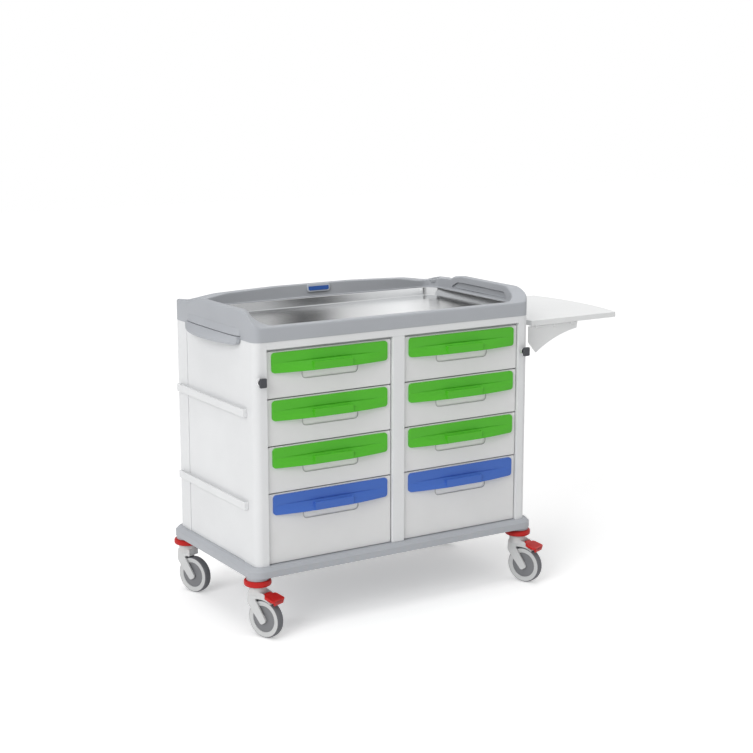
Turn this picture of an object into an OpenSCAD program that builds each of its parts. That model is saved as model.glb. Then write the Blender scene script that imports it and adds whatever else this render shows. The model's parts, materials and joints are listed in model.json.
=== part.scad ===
// Medication cart: a cabinet with two columns of drawers on four swivel casters,
// a steel tray in a raised surround on top, and a shelf that folds down at its right side.
// Millimetres, +Z up, the drawers face -Y. The origin is on the floor, under the middle of the cart's box.

/* [Base] */
// How far the base stands out past the cabinet's sides
base_over_x = 24; // [16:1:34]
// How far the base stands out past the cabinet's front and back
base_over_y = 19.5; // [16:0.5:30]
// Height of the base bumper
base_h = 33; // [30:1:60]
// Height of the base's underside above the floor
base_clear = 198; // [190:1:240]
// Corner radius of the base bumper
base_corner = 45; // [30:1:60]
// Slope round the base's top edge
base_slope = 12; // [4:1:18]
// Thickness of the base's deck, walls and ribs
base_wall = 8; // [5:0.5:9]
// Widest spacing of the base's ribs
rib_pitch = 150; // [110:1:200]
// Diameter of the boss over each caster
base_boss = 72; // [68:1:80]
// How far the boss over each caster stands below the base
base_boss_h = 10; // [4:1:14]

/* [Cabinet] */
// Width of the cabinet
body_w = 1062; // [980:1:1080]
// Depth of the cabinet
body_d = 571; // [520:1:590]
// Height of the cabinet above the base
body_h = 720; // [650:1:800]
// Corner radius of the cabinet's posts
body_corner = 25; // [10:1:40]
// Width of a corner post, seen from the front
post_w = 44; // [40:1:60]
// Depth of a corner post, seen from the side
post_d = 88; // [60:1:110]
// Wall of the hollow posts and of the centre wall
post_wall = 3; // [2:0.5:6]
// Thickness of the side and back panels
panel_t = 12; // [6:1:20]
// How far the panels lie behind the posts' faces
panel_inset = 1.5; // [0.5:0.5:4]
// Groove between a panel and a post
panel_seam = 2; // [1:0.5:4]
// Width of the wall between the two columns
centre_w = 46; // [40:1:60]
// Height of the strip above the drawers
header_h = 24; // [15:1:40]
// Depth of the strip above the drawers
header_d = 36; // [20:1:60]
// Distance from the strip to the top line of the upper drawers
header_gap = 6.5; // [2:0.5:10]
// Thickness of the stop that hangs from the strip behind the drawer fronts
stop_t = 6; // [3:1:10]
// How far the stop hangs down
stop_h = 16; // [10:1:20]

/* [Drawers] */
// Height taken by each of the three upper drawers
small_pitch = 152.5; // [130:0.5:170]
// Gap round a drawer front
front_gap = 4; // [2:0.5:6]
// Thickness of a drawer front
front_t = 14; // [10:1:20]
// How far the drawer fronts lie behind the posts' faces
front_inset = 8.5; // [4:0.5:14]
// Corner radius of a drawer front
front_corner = 4; // [2:0.5:8]
// How far a drawer tray ends before its runners
tray_short = 8; // [4:1:40]
// Wall and floor of a drawer tray
tray_wall = 3; // [2:0.5:5]
// Room above a drawer tray
tray_headroom = 24; // [15:1:40]
// Room below a drawer tray
tray_footroom = 8; // [4:1:16]
// How far a runner stands out from its wall
runner_w = 12; // [10:1:16]
// Height of a runner
runner_h = 24; // [20:1:30]
// How far a runner laps onto the rear posts
runner_hold = 16; // [10:1:40]
// Depth of the groove in a runner
groove_d = 8; // [5:0.5:9]
// Height of the groove in a runner
groove_h = 11; // [8:0.5:14]
// Running clearance of a drawer in its runners
slide_gap = 0.3; // [0.2:0.05:0.6]

/* [Drawer handles] */
// Distance of a drawer handle from the side edges of its front
handle_side = 15.5; // [10:0.5:30]
// Height of a drawer handle
handle_h = 64.5; // [60:0.5:80]
// Distance from the drawer's top line to its handle
handle_drop = 5.5; // [4:0.5:12]
// Thickness of the handle's plate and grip
handle_t = 6; // [4:0.5:8]
// Corner radius of the handle
handle_corner = 10; // [6:1:16]
// Height of the upright part of the grip
grip_flat = 17; // [12:1:22]
// Height of the crease above the handle's lower edge
crease_h = 31; // [26:1:36]
// How far the middle of the grip bows out in front of the plate
handle_bow = 22; // [14:1:30]
// How far the grip's bow is drawn back at the crease
bow_top = 15; // [10:1:20]
// Width of the gap for fingers behind the grip
finger_w = 232; // [200:1:250]
// Height of the hollow behind the grip
finger_h = 17.5; // [12:0.5:18]
// Width of the flat thumb rest in the middle of the grip
thumb_w = 144; // [100:1:180]
// Depth of the thumb rest
thumb_d = 2.5; // [1:0.5:3]
// Width of the scoop in the drawer front below the handle
scoop_w = 205; // [160:1:260]
// How far the scoop reaches below the handle
scoop_drop = 27; // [12:1:34]
// Depth of the scoop
scoop_d = 4; // [2:0.5:8]
// Corner radius of the scoop
scoop_corner = 15; // [8:1:20]

/* [Top surround] */
// How far the top surround stands out past the cabinet's sides
top_over_x = 1; // [0:0.5:4]
// How far the top surround stands out past the cabinet's front and back
top_over_y = 1.5; // [0:0.5:4]
// Corner radius of the top surround
top_corner = 28; // [15:1:40]
// Height of the front lip
lip_h = 47; // [42:1:60]
// Height of the side walls
wall_h = 92; // [80:1:110]
// Length over which a side wall rises from the lip
wall_run = 80; // [50:1:110]
// Height of the back wall at its middle
gallery_h = 84; // [78:1:105]
// Height of the back wall at its ends
gallery_end_h = 62; // [54:1:72]
// Height of the ledge on which the walls' inner faces end
rim_h = 39; // [30:1:40]
// Thickness of the surround's side walls at the ledge
wall_side = 37; // [33:1:50]
// Thickness of the surround's front and back at the ledge
wall_end = 33; // [30:1:44]
// Corner radius of the well
well_corner = 51; // [30:1:60]
// How far the walls lean outward inside
wall_lean = 8; // [2:1:12]
// Deck under the steel tray
deck_t = 6; // [4:1:10]
// Depth of the panel sunk into a side wall's inner face
sunk_d = 4; // [2:0.5:6]
// Height of the sunk panel's foot above the ledge
sunk_foot = 9; // [6:1:14]
// Height of the sunk panel
sunk_h = 21; // [12:1:26]
// Bore of a pole socket
pole_bore = 25; // [20:0.5:28]
// Depth of a pole socket
pole_depth = 57; // [40:1:58]
// Outer diameter of a pole socket's boss
pole_boss = 40; // [36:1:44]
// Distance of a pole socket's axis from the surround's side
pole_side = 30; // [26:1:34]
// Distance of a pole socket's axis from the surround's back
pole_back = 39; // [34:1:44]
// How far a pole socket stands above the ends of the back wall
pole_rise = 4; // [2:1:12]

/* [Steel tray] */
// Sheet thickness of the steel tray
steel_t = 2; // [1:0.5:3]
// Height of the steel tray's wall
steel_h = 31; // [20:1:33]
// Gap round the steel tray
steel_gap = 1; // [0.5:0.25:2]
// Slope round the steel tray's floor
steel_slope = 1; // [0.5:0.5:4]

/* [Push handle and badge plate] */
// Distance of the push handle's ends from the cabinet's front and back
grip_inset = 98.5; // [96:0.5:130]
// Place of the middle of the push handle, behind the cabinet's middle
grip_y = -9; // [-12:1:10]
// Height of the push handle's top above the cabinet's top
grip_rise = 9; // [6:1:14]
// Height of the upright edge of the push handle
grip_edge = 6; // [4:0.5:10]
// Height of the ledge above the push handle
ledge_h = 24; // [16:1:30]
// How far the ledge stands out past the push handle's ends
ledge_over = 3; // [1:0.5:6]
// How far the push handle stands out at its ends
grip_end = 12; // [8:1:20]
// How far the push handle stands out at its middle
grip_reach = 48; // [36:1:60]
// Height of the push handle
grip_h = 26; // [20:1:34]
// Wall of the push handle
grip_wall = 6; // [4:0.5:8]
// Dark gap between the surround and the push handle
grip_seam = 1.5; // [1:0.5:3]
// Width of the badge plate
badge_w = 92; // [60:1:110]
// Height of the badge plate
badge_h = 28; // [18:1:30]
// Thickness of the badge plate
badge_t = 3; // [2:0.5:4]
// Place of the badge plate along the back wall
badge_x = 12; // [-60:1:60]
// Distance of the badge plate from the back wall's top edge
badge_edge = 1; // [1:0.5:8]

/* [Accessory rails] */
// Height of an accessory rail
rail_h = 26; // [20:1:30]
// Thickness of an accessory rail
rail_t = 6; // [5:0.5:10]
// Gap behind an accessory rail
rail_gap = 10; // [8:1:20]
// Distance of a rail's ends from the cabinet's front and back
rail_end = 44; // [36:1:50]
// Place of the middle of the rails, behind the cabinet's middle
rail_y = 7; // [-10:1:10]
// Height of the upper rail above the base
rail_hi = 493; // [440:1:560]
// Height of the lower rail above the base
rail_lo = 192; // [100:1:240]

/* [Locks] */
// Distance of the locks below the cabinet's top
lock_drop = 123; // [60:1:190]
// Diameter of a lock barrel
lock_dia = 20; // [16:0.5:24]
// Diameter of a lock's flange
lock_flange = 27; // [24:0.5:32]
// Thickness of a lock's flange
flange_t = 4; // [2:0.5:6]
// Length of a lock barrel behind the post's face
lock_l = 26; // [16:1:34]
// Depth of the flat seat of a lock in its rounded post
lock_seat = 8; // [4:0.5:12]
// Diameter of a key's shank
key_dia = 8; // [6:0.5:9]
// Width of a key's head
key_w = 24; // [18:1:28]
// Height of a key's head
key_h = 30; // [24:1:36]
// Thickness of a key's head
key_t = 7; // [4:0.5:10]
// Corner radius of a key's head
key_round = 4; // [2:0.5:8]
// How far a key's shank ends before the end of its barrel
key_short = 10; // [6:1:14]
// How far the front of a key's head stands out from the post
key_out = 20; // [14:1:26]

/* [Fold-down shelf] */
// Length of the shelf from its hinge to its outer edge
shelf_l = 423; // [380:1:460]
// Width of the shelf, front to back
shelf_w = 482; // [420:1:520]
// Thickness of the shelf
shelf_t = 18; // [16:1:22]
// Distance of the shelf's top below the cabinet's top
shelf_drop = 31; // [21:1:70]
// Bow of the shelf's outer edge
shelf_bow = 32; // [10:1:40]
// Corner radius of the shelf
shelf_corner = 12; // [8:1:60]
// Distance from the cabinet's side to the shelf's hinge pin
hinge_out = 36; // [34:1:44]
// Diameter of the shelf's hinge pin
hinge_pin_dia = 8; // [6:0.5:9]
// Outer diameter of the shelf's hinge knuckles
knuckle_dia = 16; // [14:0.5:17]
// Length of a hinge knuckle
knuckle_l = 38; // [30:1:44]
// Length of the shelf's hinge
hinge_l = 400; // [340:1:410]
// Gap between two knuckles
knuckle_gap = 1.5; // [0.5:0.25:3]
// Thickness of the hinge plate
plate_t = 6; // [4:0.5:8]
// Height of the hinge plate
plate_h = 40; // [34:1:48]
// How far the hinge plate laps onto each post
plate_hold = 36; // [24:1:50]
// Diameter of the hinge plate's screw heads
screw_head = 10; // [8:0.5:12]
// Height of the hinge plate's screw heads
screw_h = 2.5; // [1.5:0.5:4]
// Distance of a wing from the shelf's front or back edge
wing_inset = 18; // [14:1:40]
// Distance from the hinge pin to a wing's inner edge
wing_start = 10; // [9:1:14]
// Thickness of a wing
wing_t = 4; // [3:0.5:5]
// Length of a wing's top edge
wing_l = 216; // [180:1:260]
// Height of a wing near the cabinet
wing_h = 92; // [70:1:96]
// Height of a wing at its tip
wing_tip = 20; // [12:1:30]
// Diameter of a wing's hinge rod
rod_dia = 6; // [5:0.5:7]
// Length of a lug that holds a wing's rod
lug_l = 14; // [10:1:18]
// Wall of a lug round a wing's rod
lug_wall = 3; // [2:0.5:4]
// Gap between the shelf and a wing's rod
rod_drop = 4; // [3:0.5:6]
// Radius of the hollow curve along a wing's lower edge
wing_curve_r = 420; // [300:10:800]

/* [Casters] */
// Distance of a caster's swivel axis from the side of the base
caster_side = 38; // [34:1:60]
// Distance of a caster's swivel axis from the front or back of the base
caster_end = 45; // [34:1:60]
// Turn of the casters about their swivel axes
caster_turn = 21.9; // [0:0.1:45]
// Diameter of a wheel
wheel_dia = 125; // [100:1:125]
// Width of a wheel
wheel_w = 29; // [24:1:32]
// Edge radius of a tyre
tyre_round = 6; // [3:0.5:8]
// Depth of a tyre
tyre_depth = 21; // [12:1:24]
// How far a wheel's web lies in from its sides
web_inset = 3; // [1:0.5:6]
// Wall of a wheel's hub round the axle
hub_wall = 8; // [5:0.5:12]
// Distance of a wheel's axle behind its swivel axis
caster_trail = 33; // [26:1:40]
// Diameter of an axle
axle_dia = 12; // [8:0.5:14]
// Diameter of a caster's neck
neck_dia = 57; // [50:1:60]
// Diameter of a caster's kingpin
king_dia = 20; // [14:0.5:24]
// Length of a caster's kingpin
king_l = 26; // [18:1:27]
// Thickness of a fork's arm
arm_t = 6; // [4:0.5:8]
// Half width of a fork's arm at the crown
arm_root = 25; // [22:1:28]
// Wall of a fork's arm round the axle
arm_wall = 9; // [6:0.5:12]
// Height of a fork's crown
crown_h = 24; // [20:1:30]
// Reach of a fork's crown in front of its swivel axis
crown_front = 32; // [29:1:36]
// Reach of a fork's crown behind its swivel axis
crown_back = 20; // [16:1:26]
// Outer diameter of a bumper ring
ring_dia = 89; // [80:1:90]
// Height of a bumper ring
ring_h = 20; // [16:1:24]
// Height of the upright band round a bumper ring
ring_flat = 2; // [1:0.5:4]
// Width of a brake pedal
pedal_w = 58; // [48:1:64]
// Length of a brake pedal
pedal_l = 44; // [36:1:50]
// Corner radius of a brake pedal
pedal_round = 9; // [4:1:14]
// Thickness of a brake pedal
pedal_t = 8; // [6:0.5:10]
// Slope of a brake pedal when it is up
pedal_slope = 14; // [8:1:18]
// Diameter of a brake pedal's pivot
pivot_dia = 6; // [4:0.5:8]
// Thickness of the lugs that hold a brake pedal's pivot
pivot_lug = 5; // [3:0.5:6]

/* [Hidden] */
SIDES = [-1, 1];
ROWS = [1:4];
CASTERS = [0:3];

$fn = 64;
run_fit = 0.05;
seat_gap = 0.3;
wheel_gap = 2;
hub_gap = 0.8;
pivot_wall = 4;
ring_gap = 1;
arc_fn = 720;
eps = 1;

WHITE = [0.90, 0.90, 0.90];
PALE = [0.80, 0.80, 0.80];
GREY = [0.65, 0.67, 0.69];
DARK = [0.30, 0.30, 0.32];
STEEL = [0.72, 0.73, 0.74];
GREEN = [0.35, 0.70, 0.22];
BLUE = [0.25, 0.43, 0.78];
RED = [0.75, 0.15, 0.13];

base_w = body_w + 2 * base_over_x;
base_d = body_d + 2 * base_over_y;
base_top = base_clear + base_h;
body_top = base_top + body_h;
side_x = body_w / 2;
front_y = -body_d / 2;
back_y = body_d / 2;
header_z = body_top - header_h;
panel_side_l = body_d - 2 * post_d - 2 * panel_seam;
panel_back_w = body_w - 2 * post_w - 2 * panel_seam;
wall_back_y = back_y - panel_inset - panel_t;
lock_x = side_x - post_w / 2;
lock_z = body_top - lock_drop;

bay_w = (body_w - 2 * post_w - centre_w) / 2;
front_w = bay_w - 2 * front_gap;
front_face_y = front_y + front_inset;
front_back_y = front_face_y + front_t;
tray_w = bay_w - 2 * runner_w - 2 * slide_gap;
runner_y = front_back_y + 2 * slide_gap;
runner_l = back_y - post_d + runner_hold - runner_y;
tray_l = runner_l - tray_short;
handle_w = front_w - 2 * handle_side;
rows_top = header_z - header_gap;
handle_y = front_face_y - handle_t;
bow_r = (pow(handle_w / 2, 2) + pow(handle_bow, 2)) / (2 * handle_bow);
finger_d = sqrt(pow(bow_r, 2) - pow(finger_w / 2, 2)) - bow_r + handle_bow - handle_t;

top_w = body_w + 2 * top_over_x;
top_d = body_d + 2 * top_over_y;
well_w = top_w - 2 * wall_side;
well_d = top_d - 2 * wall_end;
lip_z = body_top + lip_h;
wall_z = body_top + wall_h;
rim_z = body_top + rim_h;
steel_z = body_top + deck_t;
wall_arc = (pow(wall_run, 2) + pow(wall_z - lip_z, 2)) / (2 * (wall_z - lip_z));
gallery_mid_z = body_top + gallery_h;
gallery_end_z = body_top + gallery_end_h;
seam_y = 0.63 * top_d / 2;
pole_x = top_w / 2 - pole_side;
pole_y = top_d / 2 - pole_back;
pole_top = gallery_end_z + pole_rise;
lean_angle = atan(wall_lean / (wall_z - rim_z));
badge_z = gallery_mid_z - badge_h / 2 - badge_edge;
badge_y = well_d / 2 + wall_lean * (badge_z - rim_z) / (wall_z - rim_z);
grip_x = -top_w / 2;
grip_z = body_top + grip_rise;
ledge_top = grip_z + ledge_h;
ledge_reach = grip_end + ledge_over;
rail_l = body_d - 2 * rail_end;
grip_l = body_d - 2 * grip_inset;

shelf_z = body_top - shelf_drop;
hinge_x = side_x + hinge_out;
hinge_z = shelf_z - shelf_t / 2;
leaf_in = knuckle_dia / 2 + 1;
knuckle_pitch = knuckle_l + knuckle_gap;
knuckles = floor((hinge_l / knuckle_pitch - 1) / 2) * 2 + 1;
rod_z = shelf_z - shelf_t - rod_dia / 2 - rod_drop;
lug_r = rod_dia / 2 + lug_wall;
lug_gap = 0.5;
wing_y = shelf_w / 2 - wing_inset;
wing_x = hinge_x + wing_start;
wing_side_h = 0.58 * wing_h;
wing_cut = 0.36 * wing_h;
plate_l = body_d - 2 * post_d + 2 * plate_hold;
shelf_r = (pow(shelf_w / 2, 2) + pow(shelf_bow, 2)) / (2 * shelf_bow);

caster_x = base_w / 2 - caster_side;
caster_y = base_d / 2 - caster_end;
wheel_r = wheel_dia / 2;
fork_in = wheel_w / 2 + wheel_gap;
fork_out = fork_in + arm_t;
crown_z = wheel_dia + 2 * wheel_gap;
crown_top = crown_z + crown_h;
pivot_r = pivot_dia / 2 + pivot_wall;
pivot_y = -crown_front - pivot_r + eps;
pivot_z = crown_z + crown_h / 2 + eps;
pedal_start = pivot_r + wheel_gap;
pedal_under = 2;
boss_z = base_clear - base_boss_h;
neck_top = boss_z - seat_gap;

// Offset from the cart's middle to the middle of its box
wheel_front = caster_y + (caster_trail + wheel_r - tyre_round) * cos(caster_turn)
  + (wheel_w / 2 - tyre_round) * sin(caster_turn) + tyre_round;
pedal_reach = (pedal_start + pedal_l - pedal_round) * cos(pedal_slope)
  + (pedal_t - pedal_under) * sin(pedal_slope) - pivot_y;
pedal_front = caster_y + pedal_reach * cos(caster_turn) + (pedal_w / 2 - pedal_round) * sin(caster_turn)
  + pedal_round * norm([sin(caster_turn), cos(caster_turn) * cos(pedal_slope)]);
frame_x = (top_w / 2 + grip_reach - hinge_x - shelf_l) / 2;
frame_y = (max(wheel_front, pedal_front) - base_d / 2) / 2;

function side_name(side) = side < 0 ? "left" : "right";
function drawer_name(side, row, piece) = str(side_name(side), "_drawer_", row, "_", piece);
function caster_sx(i) = i % 2 == 0 ? -1 : 1;
function caster_sy(i) = i < 2 ? -1 : 1;
function caster_name(i, piece) = str(i < 2 ? "front_" : "rear_", side_name(caster_sx(i)), "_", piece);
function bay_x(side) = side * (centre_w + bay_w) / 2;
function row_top(row) = rows_top - (row - 1) * small_pitch;
function row_bottom(row) = row < 4 ? rows_top - row * small_pitch : base_top;
function row_mid(row) = (row_top(row) + row_bottom(row)) / 2;
function tray_z(row) = row_bottom(row) + tray_footroom;
function tray_h(row) = row_top(row) - tray_headroom - tray_z(row);
function handle_z(row) = row_top(row) - handle_drop - handle_h;

// Rounded rectangle about the origin
module rounded(w, d, r) {
  square([w - 2 * r, d], center = true);
  square([w, d - 2 * r], center = true);
  for (x = [-1, 1], y = [-1, 1])
    translate([x * (w / 2 - r), y * (d / 2 - r)]) circle(r);
}

// Slab with rounded corners whose top edge slopes in
module sloped_slab(w, d, h, r, slope) {
  linear_extrude(h - slope) rounded(w, d, r);
  translate([0, 0, h - slope]) {
    for (x = [-1, 1], y = [-1, 1])
      translate([x * (w / 2 - r), y * (d / 2 - r), 0]) cylinder(h = slope, r1 = r, r2 = r - slope);
    slope_ridge(w - 2 * r, d, slope);
    rotate(90) slope_ridge(d - 2 * r, w, slope);
  }
}

// Straight stretch of a sloped edge, of one length and of a width that narrows upward
module slope_ridge(l, w, slope) {
  translate([-l / 2, 0, 0]) rotate([90, 0, 90]) linear_extrude(l)
    polygon([[-w / 2, 0], [w / 2, 0], [w / 2 - slope, slope], [slope - w / 2, slope]]);
}

// Outline drawn in x and z, raised along y from y = 0 to y = depth
module along_y(depth) {
  translate([0, depth, 0]) rotate([90, 0, 0]) linear_extrude(depth) children();
}

// Outline drawn in y and z, raised along x from x = 0 to x = length
module along_x(length) {
  rotate([90, 0, 90]) linear_extrude(length) children();
}

module place() {
  translate([frame_x, frame_y, 0]) children();
}

module caster_place(i) {
  translate([caster_sx(i) * caster_x, caster_sy(i) * caster_y, 0]) rotate(caster_turn) children();
}

// Base: a ribbed bumper tray with a socket for each caster
module base_bumper() {
  boss_r = base_corner - base_wall / 2;
  cols = ceil((base_w - 2 * base_wall) / rib_pitch);
  rows = ceil((base_d - 2 * base_wall) / rib_pitch);
  cell_w = (base_w - base_wall) / cols;
  cell_d = (base_d - base_wall) / rows;
  color(GREY) place() difference() {
    union() {
      translate([0, 0, base_clear]) sloped_slab(base_w, base_d, base_h, base_corner, base_slope);
      for (i = CASTERS)
        caster_place(i) translate([0, 0, boss_z]) cylinder(h = base_boss_h + eps, d = base_boss);
    }
    difference() {
      for (c = [0:cols - 1], r = [0:rows - 1])
        translate([(c + 0.5) * cell_w - (base_w - base_wall) / 2, (r + 0.5) * cell_d - (base_d - base_wall) / 2,
                   base_clear - eps])
          linear_extrude(base_h - base_slope - base_wall / 2 + eps)
            rounded(cell_w - base_wall, cell_d - base_wall, base_wall);
      for (x = [-1, 1], y = [-1, 1])
        translate([x * (base_w / 2 - base_corner), y * (base_d / 2 - base_corner), base_clear - 2 * eps])
          cylinder(h = base_h, r = boss_r);
      for (i = CASTERS)
        caster_place(i) translate([0, 0, base_clear - 2 * eps]) cylinder(h = base_h, d = ring_dia);
    }
    for (i = CASTERS)
      caster_place(i) translate([0, 0, boss_z - eps])
        cylinder(h = king_l + seat_gap + eps, d = king_dia + 2 * run_fit);
  }
}

// Outline of the post at the right rear corner, set in from its faces by one wall where asked
module post_outline(inset) {
  intersection() {
    rounded(body_w - 2 * inset, body_d - 2 * inset, body_corner - inset);
    translate([side_x - post_w + inset, back_y - post_d + inset])
      square([post_w - 2 * inset, post_d - 2 * inset]);
  }
}

module post(x, y) {
  mirror([x < 0 ? 1 : 0, 0, 0]) mirror([0, y < 0 ? 1 : 0, 0]) translate([0, 0, base_top])
    linear_extrude(body_h) difference() {
      post_outline(0);
      post_outline(post_wall);
    }
}

module front_post(side) {
  color(WHITE) place() difference() {
    union() {
      post(side, -1);
      translate([side * lock_x, front_y, lock_z]) rotate([-90, 0, 0]) cylinder(h = lock_seat, d = lock_flange);
    }
    translate([side * lock_x, front_y - eps, lock_z]) rotate([-90, 0, 0])
      cylinder(h = lock_l + 2 * eps, d = lock_dia + 2 * run_fit);
  }
}

module rear_posts() {
  color(WHITE) place() for (side = SIDES) post(side, 1);
}

module side_panel(side) {
  color(WHITE) place()
    translate([side * (side_x - panel_inset - panel_t / 2), 0, base_top + body_h / 2])
      cube([panel_t, panel_side_l, body_h], center = true);
}

module back_panel() {
  color(WHITE) place()
    translate([-panel_back_w / 2, wall_back_y, base_top]) cube([panel_back_w, panel_t, body_h]);
}

module centre_wall() {
  depth = wall_back_y - front_y;
  color(WHITE) place() translate([0, front_y + depth / 2, base_top])
    linear_extrude(header_z - base_top) difference() {
      square([centre_w, depth], center = true);
      square([centre_w - 2 * post_wall, depth - 2 * post_wall], center = true);
    }
}

// Strip above the drawers, with a stop that closes the gap behind the fronts of each column
module header_strip() {
  color(WHITE) place() union() {
    translate([post_w - side_x, front_y, header_z]) cube([body_w - 2 * post_w, header_d, header_h]);
    for (side = SIDES)
      translate([bay_x(side) - bay_w / 2, runner_y, header_z - stop_h]) cube([bay_w, stop_t, stop_h + eps]);
  }
}

// Runner with a groove that faces the drawer, on the right hand of a bay
module runner(side, hand, row) {
  translate([bay_x(side), runner_y, row_mid(row)]) mirror([hand < 0 ? 1 : 0, 0, 0])
    translate([bay_w / 2 - runner_w, 0, 0]) difference() {
      translate([0, 0, -runner_h / 2]) cube([runner_w, runner_l, runner_h]);
      translate([-eps, -eps, -groove_h / 2]) cube([groove_d + eps, runner_l + 2 * eps, groove_h]);
    }
}

module drawer_runners() {
  color(STEEL) place() for (side = SIDES, row = ROWS, hand = [-1, 1]) runner(side, hand, row);
}

// Drawer front with a shallow scoop below its handle
module drawer_front(side, row) {
  h = row_top(row) - row_bottom(row) - front_gap;
  scoop_h = handle_h - crease_h + scoop_drop;
  color(PALE) place() translate([bay_x(side), front_face_y, 0]) difference() {
    translate([0, 0, row_mid(row)]) along_y(front_t) rounded(front_w, h, front_corner);
    translate([0, -eps, handle_z(row) - scoop_drop + scoop_h / 2])
      along_y(scoop_d + eps) rounded(scoop_w, scoop_h, scoop_corner);
  }
}

// Drawer tray with a rib along each side that slides in a runner's groove
module drawer_tray(side, row) {
  rib = [groove_d - slide_gap, tray_l, groove_h - 2 * slide_gap];
  color(PALE) place() translate([bay_x(side), front_back_y, 0]) {
    difference() {
      translate([-tray_w / 2, 0, tray_z(row)]) cube([tray_w, tray_l, tray_h(row)]);
      translate([tray_wall - tray_w / 2, tray_wall, tray_z(row) + tray_wall])
        cube([tray_w - 2 * tray_wall, tray_l - 2 * tray_wall, tray_h(row)]);
    }
    for (hand = [-1, 1])
      translate([hand * (tray_w + rib.x) / 2, tray_l / 2, row_mid(row)]) cube(rib, center = true);
  }
}

// Profile of the bowed grip, set in from its outer face, as radius and height
module grip_section(inset) {
  back_r = bow_r - handle_bow - handle_t;
  polygon([[back_r, crease_h - inset], [bow_r - bow_top - inset, crease_h - inset],
           [bow_r - inset, grip_flat], [bow_r - inset, 0], [back_r, 0]]);
}

// Solid swept along the bow, bounded by the drawer front
module bowed(inset, w) {
  intersection() {
    translate([0, bow_r - handle_bow, 0]) rotate_extrude($fn = arc_fn) grip_section(inset);
    translate([-w / 2, -2 * handle_bow, 0]) cube([w, 2 * handle_bow + handle_t, crease_h]);
  }
}

// Straight hollow behind the grip, in y and z
module finger_outline() {
  translate([-finger_d, -eps]) square([finger_d + handle_t + eps, finger_h + eps]);
}

// Handle: a plate whose lower half flares out into a bowed grip
module drawer_handle(side, row) {
  color(row < 4 ? GREEN : BLUE) place() translate([bay_x(side), handle_y, handle_z(row)]) difference() {
    union() {
      translate([0, 0, handle_h / 2]) along_y(handle_t) rounded(handle_w, handle_h, handle_corner);
      bowed(0, handle_w - 2 * handle_corner);
    }
    translate([-finger_w / 2, 0, 0]) along_x(finger_w) finger_outline();
    difference() {
      translate([-thumb_w / 2, -2 * handle_bow, -eps]) cube([thumb_w, 2 * handle_bow, crease_h - thumb_d]);
      bowed(thumb_d, handle_w);
    }
  }
}

// Side view of a wall of the surround, in y and z, with a notch where the back gallery's piece begins
module wall_outline() {
  back = top_d / 2;
  rise = wall_z - gallery_end_z;
  translate([wall_run - back, wall_z - wall_arc]) intersection() {
    circle(wall_arc, $fn = arc_fn);
    translate([-wall_run, lip_z - wall_z + wall_arc]) square([wall_run, wall_z - lip_z]);
  }
  polygon([[wall_run - back, body_top], [wall_run - back, wall_z], [0.35 * back, wall_z],
           [0.56 * back, gallery_end_z + 0.72 * rise], [seam_y, gallery_end_z + 0.34 * rise],
           [0.67 * back, gallery_end_z + 0.47 * rise], [back, gallery_end_z + 0.28 * rise], [back, body_top]]);
}

// Back view of the gallery, in x and z
module gallery_outline() {
  half = top_w / 2;
  drop = gallery_mid_z - gallery_end_z;
  right = [[0.29 * half, gallery_mid_z], [0.56 * half, gallery_mid_z - 0.2 * drop],
           [0.73 * half, gallery_mid_z - 0.36 * drop], [0.8 * half, gallery_mid_z - 0.6 * drop],
           [0.87 * half, gallery_mid_z - 0.86 * drop], [0.92 * half, gallery_end_z], [half, gallery_end_z]];
  left = [for (i = [len(right) - 1:-1:0]) [-right[i].x, right[i].y]];
  polygon(concat([[-half, body_top]], left, right, [[half, body_top]]));
}

// Panel sunk into the inner face of a side wall, in y and z
module sunk_outline() {
  foot = rim_z + sunk_foot;
  head = foot + sunk_h;
  polygon([[-0.4 * well_d, foot], [0.28 * well_d, foot], [0.2 * well_d, head], [-0.35 * well_d, head]]);
}

// Plan of a piece that bows out from the left side of the surround
module bow_plan(reach, end, l) {
  sag = reach - end;
  r = (pow(l / 2, 2) + pow(sag, 2)) / (2 * sag);
  intersection() {
    translate([r - reach, 0]) circle(r, $fn = arc_fn);
    translate([-reach, -l / 2]) square([reach, l]);
  }
}

module top_blank() {
  intersection() {
    translate([0, 0, body_top]) linear_extrude(wall_h) rounded(top_w, top_d, top_corner);
    union() {
      translate([0, 0, body_top]) linear_extrude(lip_h) square([top_w, top_d], center = true);
      for (x = [-top_w / 2, (well_w - well_corner) / 2])
        translate([x, 0, 0]) along_x(wall_side + well_corner / 2) wall_outline();
      translate([0, (well_d - well_corner) / 2, 0]) along_y(wall_end + well_corner / 2) gallery_outline();
    }
  }
}

module top_well() {
  translate([0, 0, steel_z]) linear_extrude(rim_z - steel_z + eps) rounded(well_w, well_d, well_corner);
  hull() {
    translate([0, 0, rim_z]) linear_extrude(eps) rounded(well_w, well_d, well_corner);
    translate([0, 0, wall_z]) linear_extrude(eps)
      rounded(well_w + 2 * wall_lean, well_d + 2 * wall_lean, well_corner + wall_lean);
  }
  translate([0, -top_d / 2 - eps, 0]) along_y(wall_end + well_corner + eps)
    polygon([for (x = [-1, 1]) [x * well_w / 2, lip_z],
             for (x = [1, -1]) [x * (well_w / 2 + wall_lean), wall_z + eps]]);
}

// Deck, lip and walls in one, before they are parted at the seam
module top_walls() {
  difference() {
    top_blank();
    top_well();
    for (side = SIDES)
      translate([side * (well_w / 2 + wall_lean / 2) - sunk_d, 0, 0]) along_x(2 * sunk_d) sunk_outline();
  }
}

module behind_seam() {
  translate([-top_w, seam_y, 0]) cube([2 * top_w, top_d, 2 * wall_z]);
}

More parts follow.
